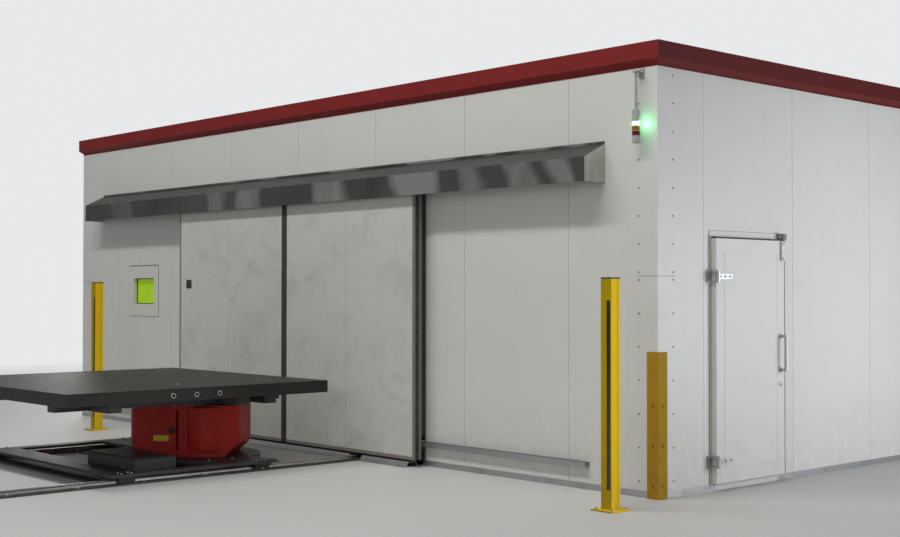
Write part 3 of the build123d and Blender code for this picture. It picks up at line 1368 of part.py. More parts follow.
    wrist = rod("x", (WRIST_Y, FOREARM_Z), WRIST_RADIUS - 4, x0 - WRIST_WIDTH / 2, x0 + WRIST_WIDTH / 2)
    wrist += rod("z", (x0, WRIST_Y), WRIST_WIDTH / 2 - 2, FLANGE_Z, FOREARM_Z)
    wrist -= rod(
        "x",
        (WRIST_Y, FOREARM_Z),
        WRIST_AXLE_RADIUS + axle_play,
        x0 - WRIST_WIDTH,
        x0 + WRIST_WIDTH,
    )
    save(wrist, "robot_wrist")

    flange_top = FLANGE_Z - JOINT_GAP
    flange = rod("z", (x0, WRIST_Y), TOOL_FLANGE_RADIUS, flange_top - TOOL_FLANGE, flange_top)
    head_top = flange_top - TOOL_FLANGE
    mount_plate = box(
        (x0 - HEAD_WIDTH / 2 - 12, WRIST_Y - HEAD_DEPTH / 2 - 40, head_top - 16),
        (x0 + HEAD_WIDTH / 2 + 12, WRIST_Y + HEAD_DEPTH / 2, head_top),
    )
    head_low = head_top - 16 - HEAD_LENGTH
    body = box(
        (x0 - HEAD_WIDTH / 2, WRIST_Y - HEAD_DEPTH / 2, head_low),
        (x0 + HEAD_WIDTH / 2, WRIST_Y + HEAD_DEPTH / 2, head_top - 16),
    )
    body = chamfer(body.edges().filter_by(Axis.Z), 10)
    collimator_y = WRIST_Y - HEAD_DEPTH / 2 - COLLIMATOR_RADIUS - 4
    collimator = rod(
        "z",
        (x0, collimator_y),
        COLLIMATOR_RADIUS,
        head_low + 70,
        head_low + 70 + COLLIMATOR_LENGTH,
    )
    elbow_block = box(
        (x0 - 36, collimator_y - 30, head_low + 40),
        (x0 + 36, WRIST_Y, head_low + 110),
    )
    save([flange, mount_plate + body + elbow_block + collimator], "laser_head")
    nozzle_profile = [
        (0, head_low),
        (38, head_low),
        (38, head_low - 40),
        (20, head_low - 62),
        (NOZZLE_TIP_RADIUS, head_low - NOZZLE_LENGTH),
        (0, head_low - NOZZLE_LENGTH),
    ]
    section = Face(Wire.make_polygon([Vector(x0 + r, WRIST_Y, z) for r, z in nozzle_profile]))
    save(revolve(section, Axis((x0, WRIST_Y, 0), (0, 0, 1))), "laser_nozzle")


os.makedirs("parts", exist_ok=True)
build_sills()
build_walls()
build_roof()
build_joists()
build_fascia()
build_corners()
build_hood()
build_door_track()
build_doorway()
build_guide_rails()
build_window()
build_service_door()
build_beacon()
build_curtains()
build_shuttle_track()
build_leaf_panels()
build_hangers()
build_shuttle()
build_robot()
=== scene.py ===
import bpy
import json
import math
from mathutils import Matrix, Vector


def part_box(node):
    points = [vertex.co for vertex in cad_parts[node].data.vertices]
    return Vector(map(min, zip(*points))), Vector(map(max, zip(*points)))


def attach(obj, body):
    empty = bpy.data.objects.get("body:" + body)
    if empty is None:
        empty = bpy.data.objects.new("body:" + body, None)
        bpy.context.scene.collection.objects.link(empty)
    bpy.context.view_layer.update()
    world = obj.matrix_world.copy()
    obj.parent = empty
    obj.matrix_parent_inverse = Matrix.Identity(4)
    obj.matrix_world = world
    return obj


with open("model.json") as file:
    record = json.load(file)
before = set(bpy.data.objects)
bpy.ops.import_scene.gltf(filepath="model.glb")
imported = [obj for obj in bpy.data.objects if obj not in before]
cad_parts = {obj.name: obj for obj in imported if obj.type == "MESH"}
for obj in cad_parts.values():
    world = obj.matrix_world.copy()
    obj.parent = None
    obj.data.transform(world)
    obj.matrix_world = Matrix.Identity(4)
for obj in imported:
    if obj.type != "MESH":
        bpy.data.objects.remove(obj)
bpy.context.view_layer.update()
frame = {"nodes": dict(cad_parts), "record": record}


# Node helpers

EDGE_COSINES = (0.995, 0.90)
PAINTED_SHADE_COSINES = (0.4, 0.8)


class Maker:
    """The node tree of a material or of the world, and the steps that build it."""

    def __init__(self, owner):
        owner.use_nodes = True
        self.owner = owner
        self.nodes = owner.node_tree.nodes
        self.links = owner.node_tree.links
        self.shader = self.nodes.get("Principled BSDF")

    def new(self, kind):
        return self.nodes.new("ShaderNode" + kind)

    def feed(self, node, inputs):
        """Each input named takes a value or the output of another node."""
        for key, value in inputs.items():
            if isinstance(value, bpy.types.NodeSocket):
                self.links.new(value, node.inputs[key])
            else:
                node.inputs[key].default_value = value
        return node

    def place(self, scale=(1, 1, 1)):
        """Object coordinates, stretched."""
        source = self.new("TexCoord").outputs["Object"]
        return self.feed(self.new("Mapping"), {"Vector": source, "Scale": scale}).outputs["Vector"]

    def noise(self, scale, detail=3.0, rough=0.55, distortion=0.0, stretch=(1, 1, 1)):
        inputs = {"Vector": self.place(stretch), "Scale": scale, "Detail": detail, "Roughness": rough,
                  "Distortion": distortion}
        return self.feed(self.new("TexNoise"), inputs).outputs["Fac"]

    def ramp(self, value, low, high, to_low=0.0, to_high=1.0):
        inputs = {"Value": value, "From Min": low, "From Max": high, "To Min": to_low, "To Max": to_high}
        return self.feed(self.new("MapRange"), inputs).outputs["Result"]

    def combine(self, operation, a, b):
        node = self.new("Math")
        node.operation = operation
        return self.feed(node, {0: a, 1: b}).outputs["Value"]

    def times(self, a, b):
        return self.combine("MULTIPLY", a, b)

    def blend(self, factor, a, b):
        """Colour a where the factor is 0 and b where it is 1."""
        node = self.new("Mix")
        node.data_type = "RGBA"
        a, b = [(*colour, 1.0) if isinstance(colour, tuple) else colour for colour in (a, b)]
        return self.feed(node, {"Factor": factor, 6: a, 7: b}).outputs[2]

    def tone(self, factor, colour, low, high):
        """The colour times low where the factor is 0, and times high where it is 1."""
        a, b = [tuple(min(1.0, c * k) for c in colour) for k in (low, high)]
        return self.blend(factor, a, b)

    def axes(self, vector):
        """X, Y and Z of a vector."""
        return self.feed(self.new("SeparateXYZ"), {0: vector}).outputs

    def normal(self):
        return self.new("NewGeometry").outputs["Normal"]

    def painted_side_shade(self, axis, sign, dimmed):
        """Painted shade: one, or the dimmed level on faces towards that side."""
        start, end = PAINTED_SHADE_COSINES
        return self.ramp(self.axes(self.normal())[axis], sign * start, sign * end, 1.0, dimmed)

    def corner(self, radius):
        """One on edges, where a rounded normal departs from the flat one."""
        bevel = self.new("Bevel")
        bevel.samples = 4
        rounded = self.feed(bevel, {"Radius": radius}).outputs["Normal"]
        dot = self.new("VectorMath")
        dot.operation = "DOT_PRODUCT"
        cosine = self.feed(dot, {0: rounded, 1: self.normal()}).outputs["Value"]
        return self.ramp(cosine, *EDGE_COSINES)

    def bump(self, value, strength, distance):
        node = self.feed(self.new("Bump"), {"Height": value, "Strength": strength, "Distance": distance})
        self.feed(self.shader, {"Normal": node.outputs["Normal"]})

    def mix_shaders(self, factor, a, b, output):
        """The tree shows shader a where the factor is 0 and b where it is 1."""
        mixer = self.feed(self.new("MixShader"), {"Fac": factor, 1: a, 2: b})
        self.feed(self.nodes[output], {"Surface": mixer.outputs["Shader"]})


# Materials

BLACK = (0.0, 0.0, 0.0)
GRIME = (0.12, 0.11, 0.09)
DUST = (0.20, 0.19, 0.17)
STREAK_SHARE = 0.16
SMEAR_SHARE = 0.32
CHIP_RADIUS = 0.004
COAT_ROUGHNESS = 0.15


def paint(name, colour, rough=0.42, vary=0.05, dirt=0.25, grime=GRIME, grime_top=0.7, marks=0.0,
          wear=0.0, wear_colour=(0.35, 0.34, 0.33), peel=0.05, coat=0.0, gloss=0.5, front=1.0, right=1.0):
    """Coated sheet or casting: slow changes of tone, grime near the floor, rub marks, worn edges, and
    painted shade on chosen sides.

    Front and right are painted shade: how bright the faces towards -Y and +X are beside the others.
    """
    m = Maker(bpy.data.materials.new(name))
    base = m.tone(m.noise(0.9, 4.0), colour, 1 - vary, 1 + vary)
    streaks = m.ramp(m.noise(1.6, 6.0, 0.65, stretch=(7, 7, 0.45)), 0.55, 0.80)
    base = m.blend(m.times(streaks, dirt * STREAK_SHARE), base, grime)
    low = m.ramp(m.axes(m.place())["Z"], grime_top, 0.0)
    patches = m.ramp(m.noise(9.0, 6.0, 0.7), 0.35, 0.75)
    base = m.blend(m.times(m.times(low, patches), dirt), base, grime)
    if marks:
        cells = m.feed(m.new("TexVoronoi"), {"Vector": m.place((1.0, 1.0, 1.6)), "Scale": 1.7})
        near = m.ramp(cells.outputs["Distance"], 0.22, 0.02)
        broken = m.ramp(m.noise(24.0, 8.0, 0.72, 0.6), 0.54, 0.70)
        base = m.blend(m.times(m.times(near, broken), marks), base, grime)
        smears = m.ramp(m.noise(2.6, 6.0, 0.62, 0.8, (1.0, 1.0, 1.3)), 0.50, 0.78)
        base = m.blend(m.times(smears, marks * SMEAR_SHARE), base, grime)
    if wear:
        chips = m.ramp(m.noise(45.0, 6.0, 0.7), 0.42, 0.58)
        base = m.blend(m.times(m.times(m.corner(CHIP_RADIUS), chips), wear), base, wear_colour)
    # Painted shade: faces towards -Y and +X are darkened to the front and right levels.
    if front != 1.0 or right != 1.0:
        painted_side_shade = m.times(m.painted_side_shade("Y", -1, front), m.painted_side_shade("X", 1, right))
        base = m.blend(painted_side_shade, BLACK, base)
    roughness = m.ramp(patches, 0.0, 1.0, rough - 0.05, rough + 0.10)
    m.feed(m.shader, {"Base Color": base, "Specular IOR Level": gloss, "Roughness": roughness})
    if coat:
        m.feed(m.shader, {"Coat Weight": coat, "Coat Roughness": COAT_ROUGHNESS})
    m.bump(m.noise(420.0, 2.0), peel, 0.0006)
    return m.owner


def metal(name, colour, rough=0.3, grain=(2, 2, 160), depth=0.12, stains=0.2, stain=(0.10, 0.09, 0.08),
          metallic=1.0):
    """Bare metal with a directional grain, handling stains and slow changes of tone."""
    m = Maker(bpy.data.materials.new(name))
    lines = m.noise(3.0, 5.0, 0.7, stretch=grain)
    cloud = m.ramp(m.noise(3.2, 6.0, 0.65, 0.5), 0.5, 0.78)
    base = m.blend(m.times(cloud, stains), m.tone(lines, colour, 0.82, 1.14), stain)
    roughness = m.ramp(lines, 0.25, 0.75, rough - 0.06, rough + 0.12)
    m.feed(m.shader, {"Base Color": base, "Metallic": metallic, "Roughness": roughness})
    m.bump(lines, depth, 0.0008)
    return m.owner


# Painted reflections on the hood's face, as light patches: centre along X at the patch height, half width
# and brightness
HOOD_PAINTED_REFLECTIONS = (
    (-3.15, 0.27, 0.52), (-1.08, 0.20, 0.75), (-0.50, 0.21, 0.86), (0.80, 0.29, 0.95),
    (2.05, 0.31, 1.20), (2.82, 0.11, 0.82), (3.40, 0.19, 0.74), (3.86, 0.16, 0.80),
)
PATCH_HEIGHT = 2.49
PATCH_LEAN = 0.22
PATCH_FADE = 0.09
SLOPE_PAINTED_REFLECTION = 0.36


def hood_sheet(name, colour):
    """Brushed stainless sheet with painted reflections: a dark slope, lit ends, and a face on which light
    patches and dark ones take turns.
    """
    m = Maker(bpy.data.materials.new(name))
    lines = m.noise(3.0, 5.0, 0.7, stretch=(1.2, 90, 90))
    point = m.axes(m.place())
    shift = m.ramp(m.noise(1.4, 2.0, 0.5), 0.3, 0.7, -0.12, 0.12)
    along = m.combine("ADD", m.combine("ADD", point["X"], m.times(point["Z"], PATCH_LEAN)), shift)
    light = None
    for centre, half, strength in HOOD_PAINTED_REFLECTIONS:
        offset = m.combine("SUBTRACT", along, centre + PATCH_LEAN * PATCH_HEIGHT)
        far = m.combine("ABSOLUTE", offset, 0.0)
        patch = m.ramp(far, half + PATCH_FADE, half - PATCH_FADE, 0.0, strength)
        light = patch if light is None else m.combine("MAXIMUM", light, patch)
    uneven = m.ramp(m.noise(5.0, 4.0, 0.6, 0.4, (1.0, 1.0, 0.5)), 0.3, 0.7, 0.75, 1.15)
    normal = m.axes(m.normal())
    face = m.ramp(normal["Z"], 0.2, 0.7, 1.0, 0.0)
    ends = m.ramp(m.combine("ABSOLUTE", normal["X"], 0.0), 0.5, 0.9)
    wander = m.ramp(m.noise(1.1, 4.0, 0.6, 0.7, (1.0, 1.4, 1.1)), 0.35, 0.68, 0.25, 0.37)
    # Painted reflections: a dark ground, light patches on the face, lit end plates, and the slope darker
    # still.
    level = m.combine("MAXIMUM", wander, m.times(m.times(light, face), uneven))
    level = m.combine("MAXIMUM", level, m.times(ends, uneven))
    level = m.times(level, m.ramp(face, 0.0, 1.0, SLOPE_PAINTED_REFLECTION, 1.0))
    base = m.blend(level, BLACK, m.tone(lines, colour, 0.90, 1.10))
    roughness = m.ramp(lines, 0.25, 0.75, 0.30, 0.44)
    m.feed(m.shader, {"Base Color": base, "Metallic": 1.0, "Roughness": roughness})
    m.bump(lines, 0.10, 0.0006)
    return m.owner


def plastic(name, colour, rough=0.5, grain=900.0, coat=0.0, dust=0.35):
    """Moulded plastic or rubber with a fine grain and dust in it."""
    m = Maker(bpy.data.materials.new(name))
    powder = m.ramp(m.noise(12.0, 6.0, 0.7), 0.45, 0.85)
    base = m.blend(m.times(powder, dust), colour, DUST)
    roughness = m.ramp(powder, 0.0, 1.0, rough, min(rough + 0.2, 1.0))
    m.feed(m.shader, {"Base Color": base, "Roughness": roughness, "Coat Weight": coat})
    m.bump(m.noise(grain, 2.0), 0.08, 0.0004)
    return m.owner


def lens(name, colour, glow=0.0):
    """Ribbed translucent lens, lit from inside where glow is above zero."""
    m = Maker(bpy.data.materials.new(name))
    wave = m.new("TexWave")
    wave.bands_direction = "Z"
    ribs = m.feed(wave, {"Vector": m.place(), "Scale": 55.0}).outputs["Fac"]
    tone = m.tone(ribs, colour, 0.75, 1.1)
    m.feed(m.shader, {"Base Color": tone, "Roughness": 0.35, "Specular IOR Level": 0.2})
    if glow:
        m.feed(m.shader, {"Emission Color": tone, "Emission Strength": glow})
    m.bump(ribs, 0.25, 0.0012)
    return m.owner


def pane(name, colour):
    """Laser-safe pane: bright tinted plastic with painted light, a glow in its own colour."""
    m = Maker(bpy.data.materials.new(name))
    smear = m.ramp(m.noise(6.0, 6.0, 0.7, 0.8), 0.3, 0.8)
    tone = m.tone(smear, colour, 0.90, 1.08)
    # Painted light: the pane glows in its own tinted colour.
    m.feed(m.shader, {"Base Color": tone, "Roughness": m.ramp(smear, 0.0, 1.0, 0.06, 0.16),
                      "Emission Color": tone, "Emission Strength": 0.28})
    return m.owner


finishes = {}


def finish(name, make, colour, **look):
    finishes[name] = make(name, colour, **look)


finish("wall_panel", paint, (0.60, 0.60, 0.575), rough=0.40, vary=0.035, dirt=0.22, marks=0.12, peel=0.03)
finish("door_panel", paint, (0.54, 0.545, 0.51), rough=0.42, vary=0.06, dirt=0.30, marks=0.85, peel=0.03)
# Painted shade: the fascia's faces towards +X are dimmed to half (right=0.50).
finish("red_fascia", paint, (0.190, 0.013, 0.013), rough=0.50, vary=0.10, dirt=0.25, grime_top=0.1,
       marks=0.20, grime=(0.06, 0.020, 0.020), wear=0.2, gloss=0.25, right=0.50)
# The hood's finish holds painted reflections: light and dark patches, a dark slope and lit ends.
finish("hood_steel", hood_sheet, (0.58, 0.575, 0.54))
finish("frame_grey", paint, (0.185, 0.172, 0.150), rough=0.45, vary=0.10, dirt=0.4, wear=0.35)
finish("zinc_steel", metal, (0.47, 0.48, 0.49), rough=0.42, grain=(6, 6, 9), stains=0.35, metallic=0.9)
finish("dark_steel", paint, (0.030, 0.030, 0.032), rough=0.46, vary=0.15, dirt=0.5,
       grime=(0.11, 0.105, 0.095), wear=0.4, wear_colour=(0.22, 0.21, 0.20))
finish("rail_steel", metal, (0.50, 0.50, 0.49), rough=0.24, grain=(60, 1.2, 60), stains=0.3)
finish("seal_rubber", plastic, (0.028, 0.028, 0.027), rough=0.62, grain=500.0)
# Painted shade: the columns' faces towards -Y are dimmed (front=0.42).
finish("safety_yellow", paint, (0.92, 0.62, 0.008), rough=0.50, vary=0.06, dirt=0.45, marks=0.30,
       wear=0.5, wear_colour=(0.30, 0.22, 0.04), gloss=0.05, front=0.42)
finish("guard_ochre", paint, (0.36, 0.215, 0.016), rough=0.55, vary=0.12, dirt=0.5, marks=0.4, wear=0.8,
       wear_colour=(0.14, 0.10, 0.05), grime=(0.13, 0.09, 0.04), gloss=0.05)
finish("optic_black", plastic, (0.008, 0.008, 0.009), rough=0.12, grain=200.0, coat=0.6, dust=0.1)
finish("pane_green", pane, (0.32, 0.57, 0.001))
finish("lens_green", lens, (0.58, 1.0, 0.66), glow=1.3)
finish("lens_amber", lens, (0.30, 0.13, 0.010))
finish("lens_red", lens, (0.13, 0.012, 0.010))
finish("beacon_grey", plastic, (0.38, 0.375, 0.35), rough=0.40, grain=700.0)
finish("table_steel", metal, (0.030, 0.027, 0.024), rough=0.46, grain=(5, 90, 60), depth=0.2, stains=0.5,
       stain=(0.034, 0.022, 0.013), metallic=0.5)
finish("plate_yellow", paint, (0.86, 0.62, 0.03), rough=0.40, vary=0.06, dirt=0.3, gloss=0.3)
finish("pedestal_red", paint, (0.52, 0.012, 0.004), rough=0.42, vary=0.12, dirt=0.35,
       grime=(0.06, 0.025, 0.018), marks=0.25, wear=0.5, wear_colour=(0.12, 0.06, 0.05), gloss=0.3)
finish("robot_white", paint, (0.58, 0.58, 0.56), rough=0.36, vary=0.04, dirt=0.2, wear=0.2, coat=0.2)
finish("head_metal", metal, (0.56, 0.57, 0.59), rough=0.34, grain=(8, 8, 120), stains=0.15)
finish("nozzle_brass", metal, (0.62, 0.38, 0.13), rough=0.26, grain=(3, 3, 300), stains=0.35)

for subpart in frame["record"]["subparts"]:
    for entry in frame["nodes"][subpart["node"]].material_slots:
        entry.material = finishes[subpart["material_slot"]]


# Mesh helpers: all in metres, in the row frame

FRONT, REAR = (0, -1, 0), (0, 1, 0)
LEFT, RIGHT = (-1, 0, 0), (1, 0, 0)
DOWN, UP = (0, 0, -1), (0, 0, 1)
SMOOTH_ANGLE = math.radians(35)


class Shape:
    """Vertices and faces of the small parts that make one piece."""

    def __init__(self):
        self.verts = []
        self.faces = []

    def add(self, verts, faces, matrix):
        start = len(self.verts)
        self.verts += [matrix @ Vector(v) for v in verts]
        self.faces += [tuple(start + i for i in face) for face in faces]

    def lathe(self, profile, sides, matrix, turn=0.0):
        """Turned part about local Z from (radius, height) points; a radius of zero closes an end."""
        verts = []
        rings = []
        for radius, height in profile:
            count = sides if radius else 1
            rings.append([len(verts) + i for i in range(count)])
            for i in range(count):
                angle = turn + 2 * math.pi * i / sides
                verts.append((radius * math.cos(angle), radius * math.sin(angle), height))
        faces = []
        for lower, upper in zip(rings[:-1], rings[1:]):
            for i in range(sides):
                j = (i + 1) % sides
                if len(lower) == 1:
                    faces.append((lower[0], upper[j], upper[i]))
                elif len(upper) == 1:
                    faces.append((lower[i], lower[j], upper[0]))
                else:
                    faces.append((lower[i], lower[j], upper[j], upper[i]))
        self.add(verts, faces, matrix)

    def block(self, low, high, soften, matrix=Matrix.Identity(4)):
        """Block between two corners whose twelve edges are chamfered."""
        low, high = Vector(low), Vector(high)
        c = min(soften, min(high - low) * 0.45)
        verts = []
        index = {}
        signs = [(sx, sy, sz) for sx in (0, 1) for sy in (0, 1) for sz in (0, 1)]
        for sign in signs:
            corner = Vector([(low, high)[side][k] for k, side in enumerate(sign)])
            inward = Vector([-c if side else c for side in sign])
            for axis in range(3):
                point = corner + inward
                point[axis] = corner[axis]
                index[(*sign, axis)] = len(verts)
                verts.append(point)
        faces = []
        for axis in range(3):
            a, b = [k for k in range(3) if k != axis]
            for side in (0, 1):
                key = [0, 0, 0]
                key[axis] = side
                loop = []
                for pa, pb in ((0, 0), (1, 0), (1, 1), (0, 1)):
                    key[a], key[b] = pa, pb
                    loop.append(index[(*key, axis)])
                if (side == 1) == (axis == 1):
                    loop.reverse()
                faces.append(tuple(loop))
            for pa in (0, 1):
                for pb in (0, 1):
                    ends = []
                    for side in (0, 1):
                        key = [0, 0, 0]
                        key[axis], key[a], key[b] = side, pa, pb
                        ends.append((index[(*key, a)], index[(*key, b)]))
                    loop = [ends[0][0], ends[1][0], ends[1][1], ends[0][1]]
                    if (pa == pb) == (axis == 1):
                        loop.reverse()
                    faces.append(tuple(loop))
        for sign in signs:
            loop = [index[(*sign, axis)] for axis in range(3)]
            if sum(sign) % 2 == 0:
                loop.reverse()
            faces.append(tuple(loop))
        self.add(verts, faces, matrix)

    def make(self, name, slot_name, body):
        """Puts the piece into the scene, on its body."""
        mesh = bpy.data.meshes.new(name)
        mesh.from_pydata([tuple(v) for v in self.verts], [], self.faces)
        mesh.validate()
        mesh.update()
        obj = bpy.data.objects.new(name, mesh)
        bpy.context.scene.collection.objects.link(obj)
        mesh.materials.append(finishes[slot_name])
        mesh.polygons.foreach_set("use_smooth", [True] * len(mesh.polygons))
        mesh.set_sharp_from_angle(angle=SMOOTH_ANGLE)
        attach(obj, body)


def facing(position, normal=UP):
    """Matrix that puts local Z along normal at a position."""
    rotation = Vector(UP).rotation_difference(Vector(normal)).to_matrix().to_4x4()
    return Matrix.Translation(Vector(position)) @ rotation


def hex_screw(shape, position, normal, size):
    """Hexagon head on a washer; size is the thread's diameter."""
    matrix = facing(position, normal)
    washer, head, top = size * 0.16, size * 0.87, size * 0.82
    shape.lathe([(size, 0), (size, washer), (size * 0.55, size * 0.18)], 14, matrix)
    shape.lathe([(head, washer), (head, top - size * 0.1), (head * 0.88, top), (0, top)], 6, matrix)


def pan_screw(shape, position, normal, radius):
    """Low round head with a driver recess."""
    h = radius * 0.55
    profile = [(radius, 0), (radius * 0.94, h * 0.45), (radius * 0.72, h * 0.85), (radius * 0.40, h)]
    profile += [(radius * 0.36, h * 0.55), (0, h * 0.45)]
    shape.lathe(profile, 10, facing(position, normal))


def cap_screw(shape, position, normal, radius):
    """Round head with a six-sided socket."""
    matrix = facing(position, normal)
    h = radius * 1.1
    shape.lathe([(radius, 0), (radius, h * 0.9), (radius * 0.9, h), (radius * 0.55, h)], 14, matrix)
    shape.lathe([(radius * 0.55, h), (radius * 0.5, h * 0.5), (0, h * 0.5)], 6, matrix)


def bolt_circle(shape, screw, centre, normal, radius, count, size, turn=0.0):
    """Screws on a circle round an axis."""
    matrix = facing(centre, normal)
    for i in range(count):
        angle = turn + 2 * math.pi * i / count
        point = matrix @ Vector((radius * math.cos(angle), radius * math.sin(angle), 0))
        screw(shape, point, normal, size)


def spaced(low, high, pitch):
    """Even places from low to high, about one pitch apart."""
    count = max(1, round((high - low) / pitch))
    return [low + (high - low) * i / count for i in range(count + 1)]


def four(across, along):
    """Offsets of a rectangle's corners from its middle."""
    return [(sx * across, sy * along) for sx in (-1, 1) for sy in (-1, 1)]


def strip(shape, low, high, soften=0.0008):
    """Thin block whose corners may come in any order."""
    pairs = [sorted(pair) for pair in zip(low, high)]
    shape.block([a for a, b in pairs], [b for a, b in pairs], soften)


def node_box(node):
    low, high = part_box(node)
    return Vector(low), Vector(high)


def middle(low, high):
    return [(a + b) / 2 for a, b in zip(low, high)]


HALF, BACK = node_box("roof_panels")[1][:2]
SIDES = (("left", -1), ("right", 1))


# Corner covers, sills, fascia and guard

CORNER_JOINT = 1.670


def corners(front, back):
    """Side of the cell, Y and the way inwards along Y, for each of the four corners."""
    return [(sx, y, sy) for sx in (1, -1) for y, sy in ((front, 1), (back, -1))]


def dress_corners():
    """Screws of the corner covers, sealant on their edges, and the joint between their two lengths."""
    low, high = node_box("corner_trims")
    heights = spaced(low.z + 0.07, CORNER_JOINT - 0.028, 0.253)
    heights += spaced(CORNER_JOINT + 0.030, high.z - 0.055, 0.213)
    column, radius = 0.182, 0.0075
    screws, beads, joints = Shape(), Shape(), Shape()
    for sx, y, sy in corners(low.y, high.y):
        for z in heights:
            pan_screw(screws, (sx * high.x - sx * column, y, z), (0, -sy, 0), radius)
            pan_screw(screws, (sx * high.x, y + sy * column, z), (sx, 0, 0), radius)
    screws.make("corner_cover_screws", "frame_grey", "cell")
    edge, bead, bead_out = 0.285, 0.2875, 0.0016
    end, joint_out, soften = 0.198, 0.0027, 0.0003
    under, over = CORNER_JOINT - 0.0012, CORNER_JOINT + 0.0032
    for sx, y, sy in corners(0.0, BACK):
        x = sx * HALF
        strip(beads, (sx * (HALF - edge), y, low.z), (sx * (HALF - bead), y - sy * bead_out, high.z))
        strip(beads, (x, y + sy * edge, low.z), (sx * (HALF + bead_out), y + sy * bead, high.z))
        strip(joints, (sx * (HALF - end), y, under), (x, y - sy * joint_out, over), soften)
        strip(joints, (x, y, under), (sx * (HALF + joint_out), y + sy * end, over), soften)
    beads.make("corner_cover_sealant", "robot_white", "cell")
    joints.make("corner_cover_joints", "frame_grey", "cell")


def dress_sills():
    """Screws along the floor channels, clear of the doorway and the service door."""
    low, high = node_box("sill_channels")
    doorway = node_box("doorway_trim")[1].x
    service_low, service_high = node_box("service_door_frame")
    z, radius, inset = 0.030, 0.005, 0.30
    screws = Shape()
    for sx in (-1, 1):
        for x in spaced(doorway + 0.12, HALF - 0.36, 0.60):
            pan_screw(screws, (sx * x, low.y, z), FRONT, radius)
    for x in spaced(-HALF + 0.16, HALF - 0.16, 0.80):
        pan_screw(screws, (x, high.y, z), REAR, radius)
    before = spaced(inset, service_low.y - 0.06, 0.30)
    for y in before + spaced(service_high.y + 0.15, BACK - inset, 0.76):
        pan_screw(screws, (high.x, y, z), RIGHT, radius)
    for y in spaced(inset, BACK - inset, 0.77):
        pan_screw(screws, (low.x, y, z), LEFT, radius)
    screws.make("sill_screws", "zinc_steel", "cell")


def dress_fascia():
    """Rivets along the lower slope."""
    low, high = node_box("roof_fascia")
    face_height, slope_height, slope_depth = 0.132, 0.038, 0.043
    length = math.hypot(slope_height, slope_depth)
    out, down = slope_height / length, -slope_depth / length
    z, inset = high.z - face_height - slope_height / 2, slope_depth / 2
    pitch, radius = 0.61, 0.0045
    rivets = Shape()
    for x in spaced(-HALF + 0.26, HALF - 0.26, pitch):
        pan_screw(rivets, (x, low.y + inset, z), (0, -out, down), radius)
        pan_screw(rivets, (x, high.y - inset, z), (0, out, down), radius)
    for y in spaced(0.25, BACK - 0.25, pitch):
        pan_screw(rivets, (high.x - inset, y, z), (out, 0, down), radius)
        pan_screw(rivets, (low.x + inset, y, z), (-out, 0, down), radius)
    rivets.make("fascia_rivets", "red_fascia", "cell")


def dress_guard():
    """Bolts down both legs of the angle at the front right corner."""
    low, high = node_box("corner_guard")
    inset, size = 0.055, 0.012
    bolts = Shape()
    for z in spaced(low.z + 0.10, high.z - 0.40, 0.30):
        hex_screw(bolts, (high.x, low.y + inset, z), RIGHT, size)
        hex_screw(bolts, (high.x - inset, low.y, z), FRONT, size)
    bolts.make("corner_guard_bolts", "guard_ochre", "cell")


# Hood, track and sliding doors

def dress_hood():
    """Rivets of the hood's flange, its two joints and its end plates, and sealant on its top edge."""
    low, high = node_box("door_hood")
    lengths, fold_z, radius = 3, low.z + 0.188, 0.0045
    rivets = Shape()
    for x in spaced(low.x + 0.12, high.x - 0.12, 0.40):
        pan_screw(rivets, (x, -0.002, high.z - 0.008), FRONT, radius)
    for k in (-1, 1):
        joint = k * ((high.x - low.x) / lengths) / 2
        for dx in (-0.012, 0.012):
            for z in spaced(low.z + 0.02, fold_z - 0.01, 0.055):
                pan_screw(rivets, (joint + dx, low.y, z), FRONT, 0.003)
    places = [(y, low.z + 0.05) for y in (-0.06, -0.18)] + [(-0.06, high.z - 0.09), (-0.18, high.z - 0.16)]
    for sx in (-1, 1):
        for y, z in places:
            pan_screw(rivets, (sx * high.x, y, z), (sx, 0, 0), radius)
    rivets.make("hood_rivets", "zinc_steel", "cell")
    sealant = Shape()
    strip(sealant, (low.x, 0.0, high.z), (high.x, -0.003, high.z + 0.004))
    sealant.make("hood_sealant", "frame_grey", "cell")


def dress_track():
    """Two bolts through each bracket foot of the track bar."""
    low, high = node_box("door_track")
    brackets, half = 9, 0.030
    foot_y, foot_z = -0.010, high.z + 0.018
    bolts = Shape()
    for x in spaced(low.x + half, high.x - half, (high.x - low.x) / (brackets - 1)):
        for dx in (-0.016, 0.016):
            hex_screw(bolts, (x + dx, foot_y, foot_z), FRONT, 0.008)
    bolts.make("track_bracket_bolts", "zinc_steel", "cell")


